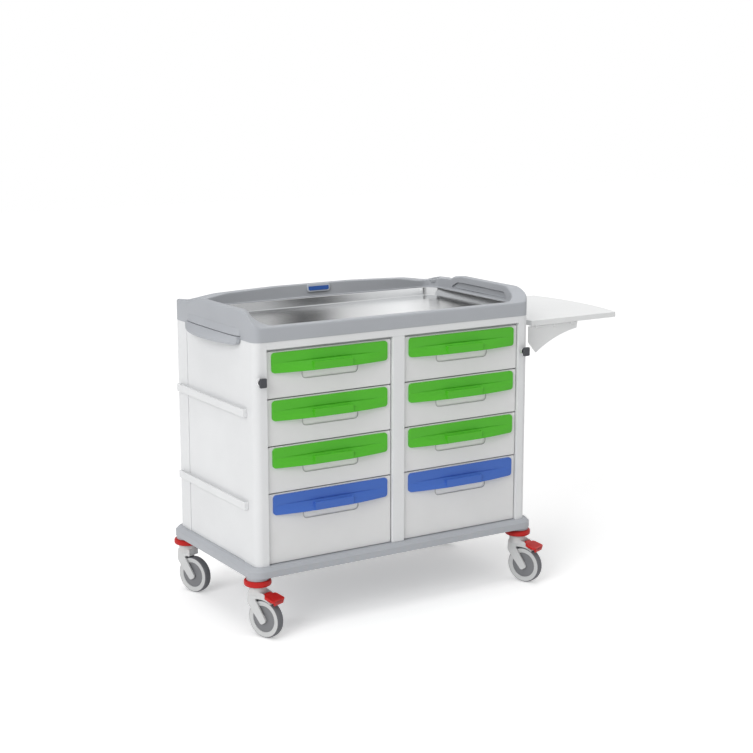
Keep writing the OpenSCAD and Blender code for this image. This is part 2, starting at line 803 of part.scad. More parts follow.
// Top surround: the lip, the side walls and the ledge over the push handle, as far back as the seam
module top_surround() {
  color(GREY) place() union() {
    difference() {
      top_walls();
      behind_seam();
    }
    translate([grip_x, grip_y, 0]) hull() {
      translate([0, 0, grip_z + grip_seam]) linear_extrude(ledge_over)
        bow_plan(ledge_reach, grip_end, grip_l);
      translate([0, 0, ledge_top]) linear_extrude(eps) bow_plan(eps, 0.1, grip_l - 2 * grip_end);
    }
  }
}

// Back gallery: the back wall and the walls behind the seam, with a pole socket in each corner
module back_gallery() {
  color(GREY) place() difference() {
    union() {
      intersection() {
        top_walls();
        behind_seam();
      }
      for (side = SIDES)
        translate([side * pole_x, pole_y, body_top]) cylinder(h = pole_top - body_top, d = pole_boss);
    }
    for (side = SIDES) translate([side * pole_x, pole_y, pole_top]) {
      cylinder(h = wall_h, d = pole_boss);
      translate([0, 0, -pole_depth]) cylinder(h = pole_depth + eps, d = pole_bore);
    }
  }
}

// Steel tray: a pan with its lower edge sloped like the press left it
module steel_tray() {
  w = well_w - 2 * steel_gap;
  d = well_d - 2 * steel_gap;
  r = well_corner - steel_gap;
  color(STEEL) place() translate([0, 0, steel_z + steel_h]) mirror([0, 0, 1]) difference() {
    sloped_slab(w, d, steel_h, r, steel_slope);
    translate([0, 0, -eps])
      sloped_slab(w - 2 * steel_t, d - 2 * steel_t, steel_h - steel_t + eps, r - steel_t, steel_slope);
  }
}

module badge_plate() {
  color(BLUE) place() translate([badge_x, badge_y, badge_z]) rotate([-lean_angle, 0, 0])
    translate([0, -badge_t, 0]) along_y(badge_t) rounded(badge_w, badge_h, badge_h / 3);
}

// Push handle: a bowed grip, open below for fingers
module push_handle() {
  hollow_l = grip_l - 10 * grip_wall;
  color(GREY) place() translate([grip_x, grip_y, grip_z - grip_h]) difference() {
    hull() {
      translate([0, 0, grip_h - eps]) linear_extrude(eps) bow_plan(ledge_reach, grip_end, grip_l);
      linear_extrude(grip_edge) bow_plan(grip_reach, grip_end, grip_l);
    }
    translate([0, 0, -eps]) hull() {
      translate([0, 0, grip_h - grip_wall]) linear_extrude(eps)
        bow_plan(ledge_reach - grip_wall, grip_end - grip_wall, hollow_l);
      linear_extrude(eps) bow_plan(grip_reach - grip_wall, grip_end - grip_wall, hollow_l);
    }
  }
}

// Accessory rail on the left side, with its ends turned in to the posts
module accessory_rails() {
  color(WHITE) place() for (z = [rail_lo, rail_hi])
    translate([-side_x, rail_y, base_top + z]) difference() {
      translate([-rail_gap - rail_t, -rail_l / 2, -rail_h / 2]) cube([rail_gap + rail_t, rail_l, rail_h]);
      translate([-rail_gap, rail_t - rail_l / 2, -rail_h])
        cube([rail_gap + eps, rail_l - 2 * rail_t, 2 * rail_h]);
    }
}

module lock_barrels() {
  color(STEEL) place() for (side = SIDES)
    translate([side * lock_x, front_y, lock_z]) rotate([-90, 0, 0]) difference() {
      union() {
        translate([0, 0, -flange_t]) cylinder(h = flange_t, d1 = lock_flange - flange_t, d2 = lock_flange);
        cylinder(h = lock_l, d = lock_dia);
      }
      translate([0, 0, -flange_t - eps]) cylinder(h = lock_l, d = key_dia + 2 * run_fit);
    }
}

// Key with a moulded head, which turns in its lock
module lock_key(side) {
  color(DARK) place() translate([side * lock_x, front_y, lock_z]) {
    translate([0, -key_out, 0]) along_y(key_t) rounded(key_w, key_h, key_round);
    rotate([-90, 0, 0]) translate([0, 0, key_t - key_out - eps])
      cylinder(h = key_out - key_t + eps + lock_l - key_short, d = key_dia);
  }
}

// Ring of soft red bumper under the base, round a caster's neck
module bumper_rings() {
  r = (ring_h - ring_flat) / 2;
  bore_r = neck_dia / 2 + ring_gap;
  color(RED) place() for (i = CASTERS)
    caster_place(i) translate([0, 0, boss_z - ring_h]) rotate_extrude() {
      translate([bore_r, 0]) square([ring_dia / 2 - r - bore_r, ring_h]);
      translate([ring_dia / 2 - r, r]) square([r, ring_flat]);
      for (z = [r, ring_h - r]) translate([ring_dia / 2 - r, z]) intersection() {
        circle(r);
        translate([0, -r]) square([r, 2 * r]);
      }
    }
}

// Knuckles of the shelf's hinge, every other one along the pin
module hinge_knuckles(first) {
  for (k = [first:2:knuckles - 1])
    translate([0, (k - (knuckles - 1) / 2) * knuckle_pitch - knuckle_l / 2, 0]) along_y(knuckle_l) children();
}

// Hinge plate on the cabinet's right side
module shelf_bracket() {
  color(WHITE) place() difference() {
    union() {
      translate([side_x, -plate_l / 2, hinge_z - knuckle_dia]) cube([plate_t, plate_l, plate_h]);
      translate([hinge_x, 0, hinge_z]) hinge_knuckles(0) {
        circle(d = knuckle_dia);
        translate([-hinge_out, -knuckle_dia / 4]) square([hinge_out, knuckle_dia / 2]);
      }
    }
    translate([hinge_x, -hinge_l, hinge_z]) rotate([-90, 0, 0])
      cylinder(h = 2 * hinge_l, d = hinge_pin_dia + 2 * run_fit);
  }
}

// Screws that hold the hinge plate to the posts
module bracket_screws() {
  color(STEEL) place() for (y = [-1, 1], z = [0.2, 0.8])
    translate([side_x + plate_t, y * (plate_l - plate_hold) / 2, hinge_z - knuckle_dia + z * plate_h])
      rotate([0, 90, 0]) cylinder(h = screw_h, d1 = screw_head, d2 = screw_head - screw_h);
}

module hinge_pin() {
  color(STEEL) place() translate([hinge_x, -knuckles * knuckle_pitch / 2, hinge_z]) rotate([-90, 0, 0])
    cylinder(h = knuckles * knuckle_pitch, d = hinge_pin_dia);
}

// Lugs under the shelf that hold a wing's rod, as places along x
function lug_places() = [for (f = [0.16, 0.52, 0.88]) wing_x + f * wing_l];

// Outline of the shelf from its hinge: straight sides, rounded corners and a bowed outer edge
module leaf_outline() {
  corner_y = shelf_w / 2 - shelf_corner;
  corner_x = shelf_l - shelf_r + sqrt(pow(shelf_r - shelf_corner, 2) - pow(corner_y, 2));
  bow_half = corner_y * shelf_r / (shelf_r - shelf_corner);
  translate([leaf_in, -shelf_w / 2]) square([corner_x - leaf_in, shelf_w]);
  for (side = SIDES) translate([corner_x, side * corner_y]) circle(shelf_corner);
  intersection() {
    translate([shelf_l - shelf_r, 0]) circle(shelf_r, $fn = arc_fn);
    translate([leaf_in, -bow_half]) square([shelf_l, 2 * bow_half]);
  }
}

// Shelf with a bowed outer edge, its hinge knuckles and the lugs of its wings
module shelf_leaf() {
  color(WHITE) place() difference() {
    union() {
      translate([hinge_x, 0, shelf_z - shelf_t]) linear_extrude(shelf_t) leaf_outline();
      translate([hinge_x, 0, hinge_z]) hinge_knuckles(1) {
        circle(d = knuckle_dia);
        translate([0, -knuckle_dia / 4]) square([leaf_in + eps, knuckle_dia / 2]);
      }
      for (x = lug_places(), side = SIDES)
        translate([x - lug_l / 2, side * wing_y, rod_z]) along_x(lug_l) {
          circle(lug_r);
          translate([-lug_r, 0]) square([2 * lug_r, shelf_z - shelf_t - rod_z + eps]);
        }
    }
    translate([hinge_x, -hinge_l, hinge_z]) rotate([-90, 0, 0])
      cylinder(h = 2 * hinge_l, d = hinge_pin_dia + 2 * run_fit);
    for (side = SIDES)
      translate([hinge_x, side * wing_y, rod_z]) rotate([0, 90, 0])
        cylinder(h = 2 * wing_l, d = rod_dia + 2 * run_fit);
  }
}

// Wing: a gusset under the shelf that swings in about its top edge as the shelf folds
module wing(side) {
  inner = [wing_x + wing_cut, rod_z - wing_h];
  tip = [wing_x + wing_l - rod_dia / 2, rod_z - wing_tip];
  color(WHITE) place() translate([0, side * wing_y, 0]) {
    translate([wing_x, 0, rod_z]) rotate([0, 90, 0]) cylinder(h = wing_l, d = rod_dia);
    translate([0, -wing_t / 2, 0]) along_y(wing_t) difference() {
      polygon([[wing_x, rod_z], [wing_x, rod_z - wing_side_h], inner, tip, [wing_x + wing_l, rod_z]]);
      for (x = lug_places())
        translate([x - lug_l / 2 - lug_gap, rod_z - lug_r - 2 * lug_gap])
          square([lug_l + 2 * lug_gap, 2 * lug_r + 4 * lug_gap]);
      wing_curve(inner, tip);
    }
  }
}

// Hollow curve of a wing's lower edge: a circle through its two lower corners
module wing_curve(a, b) {
  chord = norm(b - a);
  along = (b - a) / chord;
  centre = (a + b) / 2 + sqrt(pow(wing_curve_r, 2) - pow(chord / 2, 2)) * [along.y, -along.x];
  translate(centre) circle(wing_curve_r, $fn = arc_fn);
}

// Outline of a fork's arm, in y and z
module arm_outline() {
  foot_r = axle_dia / 2 + arm_wall;
  polygon([[arm_root, crown_top], [arm_root, crown_z - foot_r / 2],
           [0.8 * foot_r - caster_trail, wheel_r - 0.6 * foot_r],
           [-0.8 * foot_r - caster_trail, wheel_r + 0.6 * foot_r],
           [-0.6 * arm_root, crown_z - foot_r], [-arm_root, crown_top]]);
  translate([-caster_trail, wheel_r]) circle(foot_r);
}

// Fork: kingpin, neck, crown, two arms, the axle and, on a braked caster, the pedal's pivot
module fork(i) {
  color(PALE) place() caster_place(i) {
    translate([0, 0, crown_z]) cylinder(h = neck_top - crown_z, d = neck_dia);
    translate([0, 0, neck_top - eps]) cylinder(h = king_l + eps, d = king_dia);
    translate([-fork_out, -crown_front, crown_z]) cube([2 * fork_out, crown_front + crown_back, crown_h]);
    for (x = [-fork_out, fork_in]) translate([x, 0, 0]) along_x(arm_t) arm_outline();
    translate([-fork_out - wheel_gap, -caster_trail, wheel_r]) rotate([0, 90, 0])
      cylinder(h = 2 * (fork_out + wheel_gap), d = axle_dia);
    if (i < 2) pedal_pivot();
  }
}

module pedal_pivot() {
  for (x = [-fork_out, fork_out - pivot_lug])
    translate([x, 0, 0]) along_x(pivot_lug) {
      translate([pivot_y, pivot_z]) circle(pivot_r);
      translate([pivot_y, pivot_z - pivot_r]) square([pivot_r, 2 * pivot_r]);
    }
  translate([-fork_out, pivot_y, pivot_z]) rotate([0, 90, 0]) cylinder(h = 2 * fork_out, d = pivot_dia);
}

// Brake pedal: a tread plate that turns on its pivot to press on the tyre
module pedal(i) {
  barrel = 2 * (fork_out - pivot_lug - lug_gap);
  color(RED) place() caster_place(i) difference() {
    translate([0, pivot_y, pivot_z]) rotate([pedal_slope, 0, 0]) union() {
      translate([-barrel / 2, 0, 0]) along_x(barrel) circle(pivot_r - eps);
      translate([-barrel / 2, -2 * pedal_start, -pedal_under]) cube([barrel, 2 * pedal_start, pedal_t]);
      translate([0, -pedal_l / 2 - pedal_start, -pedal_under]) linear_extrude(pedal_t)
        rounded(pedal_w, pedal_l, pedal_round);
    }
    translate([-fork_out, pivot_y, pivot_z]) rotate([0, 90, 0])
      cylinder(h = 2 * fork_out, d = pivot_dia + 2 * run_fit);
  }
}

// Wheel: hub and tyre as one wheel, with a sunk hub face
module wheel(i) {
  tyre_in = wheel_r - tyre_depth;
  bore_r = axle_dia / 2 + run_fit;
  hub_half = fork_in - hub_gap;
  color(DARK) place() caster_place(i) translate([0, -caster_trail, wheel_r]) rotate([0, 90, 0])
    rotate_extrude() {
      translate([bore_r, -hub_half]) square([hub_wall, 2 * hub_half]);
      translate([bore_r, web_inset - wheel_w / 2]) square([tyre_in + eps - bore_r, wheel_w - 2 * web_inset]);
      translate([tyre_in, -wheel_w / 2]) square([wheel_r - tyre_round - tyre_in, wheel_w]);
      translate([tyre_in, tyre_round - wheel_w / 2]) square([wheel_r - tyre_in, wheel_w - 2 * tyre_round]);
      for (z = [-1, 1])
        translate([wheel_r - tyre_round, z * (wheel_w / 2 - tyre_round)]) circle(tyre_round);
    }
}

base_bumper();
front_post(-1);  // front_left_post
front_post(1);  // front_right_post
rear_posts();
side_panel(-1);  // left_panel
side_panel(1);  // right_panel
back_panel();
centre_wall();
header_strip();
drawer_runners();
top_surround();
back_gallery();
steel_tray();
badge_plate();
push_handle();
accessory_rails();
lock_barrels();
bumper_rings();
shelf_bracket();
bracket_screws();
hinge_pin();
lock_key(-1);  // left_key
lock_key(1);  // right_key
shelf_leaf();
wing(-1);  // front_wing
wing(1);  // rear_wing
pedal(0);  // front_left_pedal
pedal(1);  // front_right_pedal
for (side = SIDES, row = ROWS) {
  drawer_front(side, row);
  drawer_tray(side, row);
  drawer_handle(side, row);
}
for (i = CASTERS) {
  fork(i);
  wheel(i);
}
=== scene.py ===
"""Finishes and detail of a ward medication cart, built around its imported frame.

Metres, +Z up, the drawers face -Y. Places come from the frame's own boxes.
"""

import json
import math

import bmesh
import bpy
from mathutils import Matrix, Vector


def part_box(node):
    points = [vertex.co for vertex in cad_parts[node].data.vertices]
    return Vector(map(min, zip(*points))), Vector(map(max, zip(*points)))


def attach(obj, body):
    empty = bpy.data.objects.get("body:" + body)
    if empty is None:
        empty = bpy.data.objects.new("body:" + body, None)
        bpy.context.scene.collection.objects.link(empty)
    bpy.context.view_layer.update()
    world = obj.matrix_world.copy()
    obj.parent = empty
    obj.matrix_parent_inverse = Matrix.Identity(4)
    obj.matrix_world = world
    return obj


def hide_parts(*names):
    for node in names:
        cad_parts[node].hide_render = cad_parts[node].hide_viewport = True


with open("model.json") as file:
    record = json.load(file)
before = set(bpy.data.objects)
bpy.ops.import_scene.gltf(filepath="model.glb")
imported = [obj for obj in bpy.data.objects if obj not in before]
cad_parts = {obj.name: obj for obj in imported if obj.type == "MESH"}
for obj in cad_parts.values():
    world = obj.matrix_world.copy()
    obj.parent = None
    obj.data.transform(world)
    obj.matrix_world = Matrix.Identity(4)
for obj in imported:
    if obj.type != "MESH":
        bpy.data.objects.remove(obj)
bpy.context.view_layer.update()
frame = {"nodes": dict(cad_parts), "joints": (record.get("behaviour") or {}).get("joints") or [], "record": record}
MM = 0.001
WELD = 0.00001
# Angle in degrees past which an edge is shaded sharp
SHARP = 35.0
BODIES = frame["record"]["behaviour"]["bodies"]
BODY_OF = {node: body for body, nodes in BODIES.items() for node in nodes}
JOINT_AT = {joint["name"]: joint for joint in frame["joints"]}

BASE_LOW, BASE_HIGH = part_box("base_bumper")
CART_MIDDLE = Vector(((BASE_LOW.x + BASE_HIGH.x) / 2, (BASE_LOW.y + BASE_HIGH.y) / 2, 0))

SIDES = ("left", "right")
ROWS = (1, 2, 3, 4)
DRAWERS = [f"{side}_drawer_{row}" for side in SIDES for row in ROWS]
CASTERS = [f"{end}_{side}" for end in ("front", "rear") for side in SIDES]

# Camera, measured from the middle of the cart's base
CAMERA_PLACE = Vector((-2.71328, -4.47211, 1.79401))
CAMERA_HEADING = math.radians(32.106)
CAMERA_PITCH = math.radians(11.35)
CAMERA_LENS = 74.5
CAMERA_SENSOR = 36.0


def linear(red, green, blue):
    """Screen colour of 0 to 255 as the linear colour that a shader takes."""
    def one(value):
        value /= 255
        return value / 12.92 if value <= 0.04045 else ((value + 0.055) / 1.055) ** 2.4
    return (one(red), one(green), one(blue), 1.0)


# Shader groups shared by the finishes

GRAIN_SCALE = 900.0


def new_group(name, inputs, outputs):
    """Empty shader group with its sockets, and its two end nodes."""
    group = bpy.data.node_groups.new(name, "ShaderNodeTree")
    for label, kind, value in inputs:
        socket = group.interface.new_socket(label, in_out="INPUT", socket_type=kind)
        socket.default_value = value
    for label, kind in outputs:
        group.interface.new_socket(label, in_out="OUTPUT", socket_type=kind)
    return group, group.nodes.new("NodeGroupInput"), group.nodes.new("NodeGroupOutput")


def noise_node(tree, scale, detail, roughness):
    """Noise that waits for its place to be linked."""
    node = tree.nodes.new("ShaderNodeTexNoise")
    node.inputs["Scale"].default_value = scale
    node.inputs["Detail"].default_value = detail
    node.inputs["Roughness"].default_value = roughness
    return node


def range_node(tree, low, high, to_low, to_high):
    """Stretch of values mapped onto another."""
    node = tree.nodes.new("ShaderNodeMapRange")
    for label, value in (("From Min", low), ("From Max", high), ("To Min", to_low), ("To Max", to_high)):
        node.inputs[label].default_value = value
    return node


def moulded_skin():
    """Fine spark-eroded grain of a moulding, with soft cloudiness in its colour and gloss."""
    group, start, end = new_group(
        "moulded skin",
        [("Colour", "NodeSocketColor", (0.8, 0.8, 0.8, 1)), ("Clouding", "NodeSocketFloat", 0.04),
         ("Roughness", "NodeSocketFloat", 0.4), ("Grain Scale", "NodeSocketFloat", GRAIN_SCALE)],
        [("Colour", "NodeSocketColor"), ("Roughness", "NodeSocketFloat"), ("Height", "NodeSocketFloat")])
    place = group.nodes.new("ShaderNodeTexCoord")
    grain = noise_node(group, GRAIN_SCALE, 3.0, 0.6)
    clouds = noise_node(group, 5.0, 4.0, 0.55)
    swing = range_node(group, 0.3, 0.7, -1.0, 1.0)
    amount = group.nodes.new("ShaderNodeMath")
    amount.operation = "MULTIPLY_ADD"
    amount.inputs[2].default_value = 1.0
    tint = group.nodes.new("ShaderNodeMix")
    tint.data_type = "RGBA"
    tint.blend_type = "MULTIPLY"
    tint.inputs["Factor"].default_value = 1.0
    gloss = group.nodes.new("ShaderNodeMath")
    gloss.operation = "MULTIPLY"
    link = group.links.new
    link(place.outputs["Object"], grain.inputs["Vector"])
    link(place.outputs["Object"], clouds.inputs["Vector"])
    link(start.outputs["Grain Scale"], grain.inputs["Scale"])
    link(clouds.outputs["Fac"], swing.inputs["Value"])
    link(swing.outputs["Result"], amount.inputs[0])
    link(start.outputs["Clouding"], amount.inputs[1])
    link(start.outputs["Colour"], tint.inputs["A"])
    link(amount.outputs["Value"], tint.inputs["B"])
    link(start.outputs["Roughness"], gloss.inputs[0])
    link(amount.outputs["Value"], gloss.inputs[1])
    link(tint.outputs["Result"], end.inputs["Colour"])
    link(gloss.outputs["Value"], end.inputs["Roughness"])
    link(grain.outputs["Fac"], end.inputs["Height"])
    return group


def brushed_lines():
    """Long fine scratches of brushed sheet, drawn out along one direction."""
    group, start, end = new_group(
        "brushed lines",
        [("Stretch", "NodeSocketVector", (4.0, 700.0, 700.0)), ("Roughness", "NodeSocketFloat", 0.25),
         ("Spread", "NodeSocketFloat", 0.08)],
        [("Roughness", "NodeSocketFloat"), ("Height", "NodeSocketFloat")])
    place = group.nodes.new("ShaderNodeTexCoord")
    stretch = group.nodes.new("ShaderNodeVectorMath")
    stretch.operation = "MULTIPLY"
    lines = noise_node(group, 1.0, 4.0, 0.65)
    swing = range_node(group, 0.25, 0.75, -1.0, 1.0)
    amount = group.nodes.new("ShaderNodeMath")
    amount.operation = "MULTIPLY_ADD"
    link = group.links.new
    link(place.outputs["Object"], stretch.inputs[0])
    link(start.outputs["Stretch"], stretch.inputs[1])
    link(stretch.outputs["Vector"], lines.inputs["Vector"])
    link(lines.outputs["Fac"], swing.inputs["Value"])
    link(swing.outputs["Result"], amount.inputs[0])
    link(start.outputs["Spread"], amount.inputs[1])
    link(start.outputs["Roughness"], amount.inputs[2])
    link(amount.outputs["Value"], end.inputs["Roughness"])
    link(lines.outputs["Fac"], end.inputs["Height"])
    return group


MOULDED_SKIN = moulded_skin()
BRUSHED_LINES = brushed_lines()


# Finishes

MOULDED_GLOSS = 0.3
GRAIN_DEEP = 0.3 * MM
BRUSH_DEEP = 0.1 * MM


def new_finish(name):
    """Material with a plain Principled shader, its tree and that shader."""
    finish = bpy.data.materials.new(name)
    finish.use_nodes = True
    return finish, finish.node_tree, finish.node_tree.nodes["Principled BSDF"]


def add_bump(tree, shader, height, strength, distance):
    """Let a height roughen a shader's surface."""
    bump = tree.nodes.new("ShaderNodeBump")
    bump.inputs["Strength"].default_value = strength
    bump.inputs["Distance"].default_value = distance
    tree.links.new(height, bump.inputs["Height"])
    tree.links.new(bump.outputs["Normal"], shader.inputs["Normal"])


def moulding(name, colour, roughness, grain=GRAIN_SCALE, depth=0.12, clouding=0.025):
    """Moulded plastic or rubber in one colour."""
    finish, tree, shader = new_finish(name)
    skin = tree.nodes.new("ShaderNodeGroup")
    skin.node_tree = MOULDED_SKIN
    skin.inputs["Colour"].default_value = colour
    skin.inputs["Roughness"].default_value = roughness
    skin.inputs["Clouding"].default_value = clouding
    skin.inputs["Grain Scale"].default_value = grain
    tree.links.new(skin.outputs["Colour"], shader.inputs["Base Color"])
    tree.links.new(skin.outputs["Roughness"], shader.inputs["Roughness"])
    add_bump(tree, shader, skin.outputs["Height"], depth, GRAIN_DEEP)
    shader.inputs["Specular IOR Level"].default_value = MOULDED_GLOSS
    return finish


def metal(name, colour, roughness, stretch, spread, depth=0.05, anisotropic=0.0, across=None):
    """Bare or plated metal with its brush marks, which spread its gloss if the way across is given."""
    finish, tree, shader = new_finish(name)
    lines = tree.nodes.new("ShaderNodeGroup")
    lines.node_tree = BRUSHED_LINES
    lines.inputs["Stretch"].default_value = stretch
    lines.inputs["Roughness"].default_value = roughness
    lines.inputs["Spread"].default_value = spread
    tree.links.new(lines.outputs["Roughness"], shader.inputs["Roughness"])
    add_bump(tree, shader, lines.outputs["Height"], depth, BRUSH_DEEP)
    shader.inputs["Base Color"].default_value = colour
    shader.inputs["Metallic"].default_value = 1.0
    shader.inputs["Anisotropic"].default_value = anisotropic
    if across:
        way = tree.nodes.new("ShaderNodeCombineXYZ")
        for socket, value in zip(way.inputs, across):
            socket.default_value = value
        tree.links.new(way.outputs["Vector"], shader.inputs["Tangent"])
    return finish


WHITE_SHELL = moulding("white shell", linear(232, 233, 234), 0.42)
SHELF_WHITE = moulding("shelf white", linear(236, 237, 237), 0.36)
DRAWER_FRONT = moulding("drawer front", linear(230, 230, 230), 0.45)
DRAWER_TRAY = moulding("drawer tray", linear(214, 215, 216), 0.5)
GREY_MOULDING = moulding("grey moulding", linear(178, 181, 186), 0.46)
# Grey of the bead round each scoop, which is painted shade of a groove
SCOOP_PAINTED_SHADE = moulding("scoop painted shade", linear(180, 181, 180), 0.5)
# Paler than the drawer front, which is painted light against the shade in the scoop
SCOOP_PAINTED_LIGHT = moulding("scoop painted light", linear(246, 246, 245), 0.5)
# Dark grey of the strip in the push handle's seam, which is painted shade
SEAM_PAINTED_SHADE = moulding("seam painted shade", linear(62, 64, 68), 0.7)
# Dark grey of the beads round the sunk panels, which are painted shade of the panels' edges
PANEL_PAINTED_SHADE = moulding("panel painted shade", linear(98, 101, 106), 0.6)
HANDLE_GREEN = moulding("handle green", linear(84, 186, 44), 0.4, clouding=0.02)
HANDLE_BLUE = moulding("handle blue", linear(68, 108, 192), 0.4, clouding=0.02)
BADGE_BLUE = moulding("badge blue", linear(48, 96, 178), 0.3, clouding=0.02)
BADGE_RIM = moulding("badge rim", linear(206, 212, 220), 0.35)
RING_RED = moulding("ring red", linear(190, 30, 28), 0.45, depth=0.08)
PEDAL_RED = moulding("pedal red", linear(198, 36, 32), 0.4, depth=0.1)
FORK_GREY = moulding("fork grey", linear(212, 213, 213), 0.4)
WHEEL_RING = moulding("wheel ring", linear(208, 209, 209), 0.42)
HUB_DISC = moulding("hub disc", linear(130, 131, 134), 0.5)
TYRE = moulding("tyre", linear(114, 115, 119), 0.62, grain=600.0, depth=0.3, clouding=0.06)
KEY_DARK = moulding("key dark", linear(74, 76, 80), 0.4)
BRUSHED_TRAY = metal("brushed tray", (0.68, 0.69, 0.70, 1), 0.18, (3.0, 500.0, 500.0), 0.04,
                     depth=0.015, anisotropic=0.9, across=(0, 0.7, 0.7))
RUNNER_ZINC = metal("runner zinc", (0.56, 0.57, 0.58, 1), 0.38, (60.0, 60.0, 60.0), 0.1)
HINGE_STEEL = metal("hinge steel", (0.6, 0.61, 0.62, 1), 0.3, (400.0, 6.0, 400.0), 0.06)
LOCK_CHROME = metal("lock chrome", (0.75, 0.75, 0.76, 1), 0.12, (80.0, 80.0, 80.0), 0.03)


# Mesh tools

def finished(name, bm, finish, node, *stands_for, sharp=SHARP):
    """Piece made of bm that rides as a node of the frame does."""
    mesh = bpy.data.meshes.new(name)
    bm.to_mesh(mesh)
    bm.free()
    mesh.materials.append(finish)
    piece = bpy.data.objects.new(name, mesh)
    bpy.context.scene.collection.objects.link(piece)
    shade(mesh, sharp)
    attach(piece, BODY_OF[node])
    if stands_for:
        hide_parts(*stands_for)
    return piece


def shade(mesh, sharp):
    """Smooth shading with the edges past an angle kept sharp."""
    mesh.shade_smooth()
    mesh.set_sharp_from_angle(angle=math.radians(sharp))


def made_solid(piece):
    """Turn the modifiers of a piece into its own mesh."""
    seen = piece.evaluated_get(bpy.context.evaluated_depsgraph_get())
    mesh = bpy.data.meshes.new_from_object(seen)
    piece.modifiers.clear()
    piece.data = mesh
    return piece


def round_edges(piece, width, segments=3, angle=30.0):
    """Round the sharp edges, with the shading of the flat faces kept flat."""
    bevel = piece.modifiers.new("round edges", "BEVEL")
    bevel.width = width
    bevel.segments = segments
    bevel.limit_method = "ANGLE"
    bevel.angle_limit = math.radians(angle)
    weigh = piece.modifiers.new("flat faces", "WEIGHTED_NORMAL")
    weigh.keep_sharp = True
    return made_solid(piece)


def cut_away(piece, *cutters):
    """Take the space of each cutter out of a piece."""
    for bm in cutters:
        mesh = bpy.data.meshes.new("cutter")
        bm.to_mesh(mesh)
        bm.free()
        cutter = bpy.data.objects.new("cutter", mesh)
        bpy.context.scene.collection.objects.link(cutter)
        cut = piece.modifiers.new("cut", "BOOLEAN")
        cut.object = cutter
        cut.solver = "EXACT"
        made_solid(piece)
        bpy.data.objects.remove(cutter)
    shade(piece.data, SHARP)
    return piece


def joined(*parts):
    """One mesh of several."""
    whole = bmesh.new()
    for bm in parts:
        mesh = bpy.data.meshes.new("part")
        bm.to_mesh(mesh)
        bm.free()
        whole.from_mesh(mesh)
        bpy.data.meshes.remove(mesh)
    return whole


def node_copy(node):
    """Welded copy of a node's mesh with its flat faces whole again."""
    bm = bmesh.new()
    bm.from_mesh(frame["nodes"][node].data)
    bmesh.ops.remove_doubles(bm, verts=bm.verts, dist=WELD)
    bmesh.ops.dissolve_limit(bm, angle_limit=math.radians(0.4), verts=bm.verts, edges=bm.edges)
    return bm


def softened(node, finish, width, segments=3, angle=30.0):
    """Copy of a node with rounded edges, which stands for it."""
    piece = finished(f"{node}_soft", node_copy(node), finish, node, node)
    return round_edges(piece, width, segments, angle)


def swept(first, last, steps):
    """Angles from one to another, which are given in degrees."""
    return [math.radians(first + (last - first) * k / steps) for k in range(steps + 1)]


def filleted(corners, steps=4):
    """Outline through corners of (u, v, radius), each rounded by a curve with the reach of that arc."""
    points = []
    count = len(corners)
    for i, (u, v, radius) in enumerate(corners):
        here = Vector((u, v))
        back = Vector(corners[i - 1][:2]) - here
        ahead = Vector(corners[(i + 1) % count][:2]) - here
        if radius <= 0 or back.length < 1e-9 or ahead.length < 1e-9:
            points += [here.copy() for _ in range(steps + 1)]
            continue
        half = back.angle(ahead) / 2
        reach = min(radius / max(math.tan(half), 1e-6), 0.48 * back.length, 0.48 * ahead.length)
        a = here + back.normalized() * reach
        b = here + ahead.normalized() * reach
        for k in range(steps + 1):
            t = k / steps
            points.append(a * (1 - t) ** 2 + here * 2 * t * (1 - t) + b * t ** 2)
    return points


def loft(rings, closed_ends=True):
    """Skin over rings of equally many points, each ring a closed loop."""
    bm = bmesh.new()
    rows = [[bm.verts.new(point) for point in ring] for ring in rings]
    count = len(rows[0])
    for row, following in zip(rows, rows[1:]):
        for i in range(count):
            j = (i + 1) % count
            bm.faces.new((row[i], row[j], following[j], following[i]))
    if closed_ends:
        bm.faces.new(rows[0])
        bm.faces.new(rows[-1])
    bmesh.ops.remove_doubles(bm, verts=bm.verts, dist=WELD)
    bmesh.ops.recalc_face_normals(bm, faces=bm.faces)
    return bm


def lathe(profile, steps=96):
    """Closed profile of (radius, height) turned about Z."""
    rings = []
    for k in range(steps):
        a = 2 * math.pi * k / steps
        rings.append([(r * math.cos(a), r * math.sin(a), h) for r, h in profile])
    return loft(rings + rings[:1], closed_ends=False)


def extruded(outline, low, high):
    """Outline in y and z drawn out along X from low to high, as a closed solid."""
    return loft([[(low, u, v) for u, v in outline], [(high, u, v) for u, v in outline]])


def moved(bm, matrix):
    """The same mesh, moved and turned."""
    bmesh.ops.transform(bm, verts=bm.verts, matrix=matrix)
    return bm


# Trees of geometry nodes for what repeats or follows an edge

def new_tree(name, inputs):
    """Empty tree with its sockets, and the sockets inside it by name."""
    tree = bpy.data.node_groups.new(name, "GeometryNodeTree")
    for label, kind in inputs:
        tree.interface.new_socket(label, in_out="INPUT", socket_type=kind)
    tree.interface.new_socket("Mesh", in_out="OUTPUT", socket_type="NodeSocketGeometry")
    return tree, tree.nodes.new("NodeGroupInput").outputs


def end_tree(tree, result, finish):
    """Last nodes of a tree: real geometry in one finish."""
    real = tree.nodes.new("GeometryNodeRealizeInstances")
    dress = tree.nodes.new("GeometryNodeSetMaterial")
    out = tree.nodes.new("NodeGroupOutput")
    tree.links.new(result, real.inputs["Geometry"])
    tree.links.new(real.outputs["Geometry"], dress.inputs["Geometry"])
    tree.links.new(finish, dress.inputs["Material"])
    tree.links.new(dress.outputs["Geometry"], out.inputs["Mesh"])
    return tree


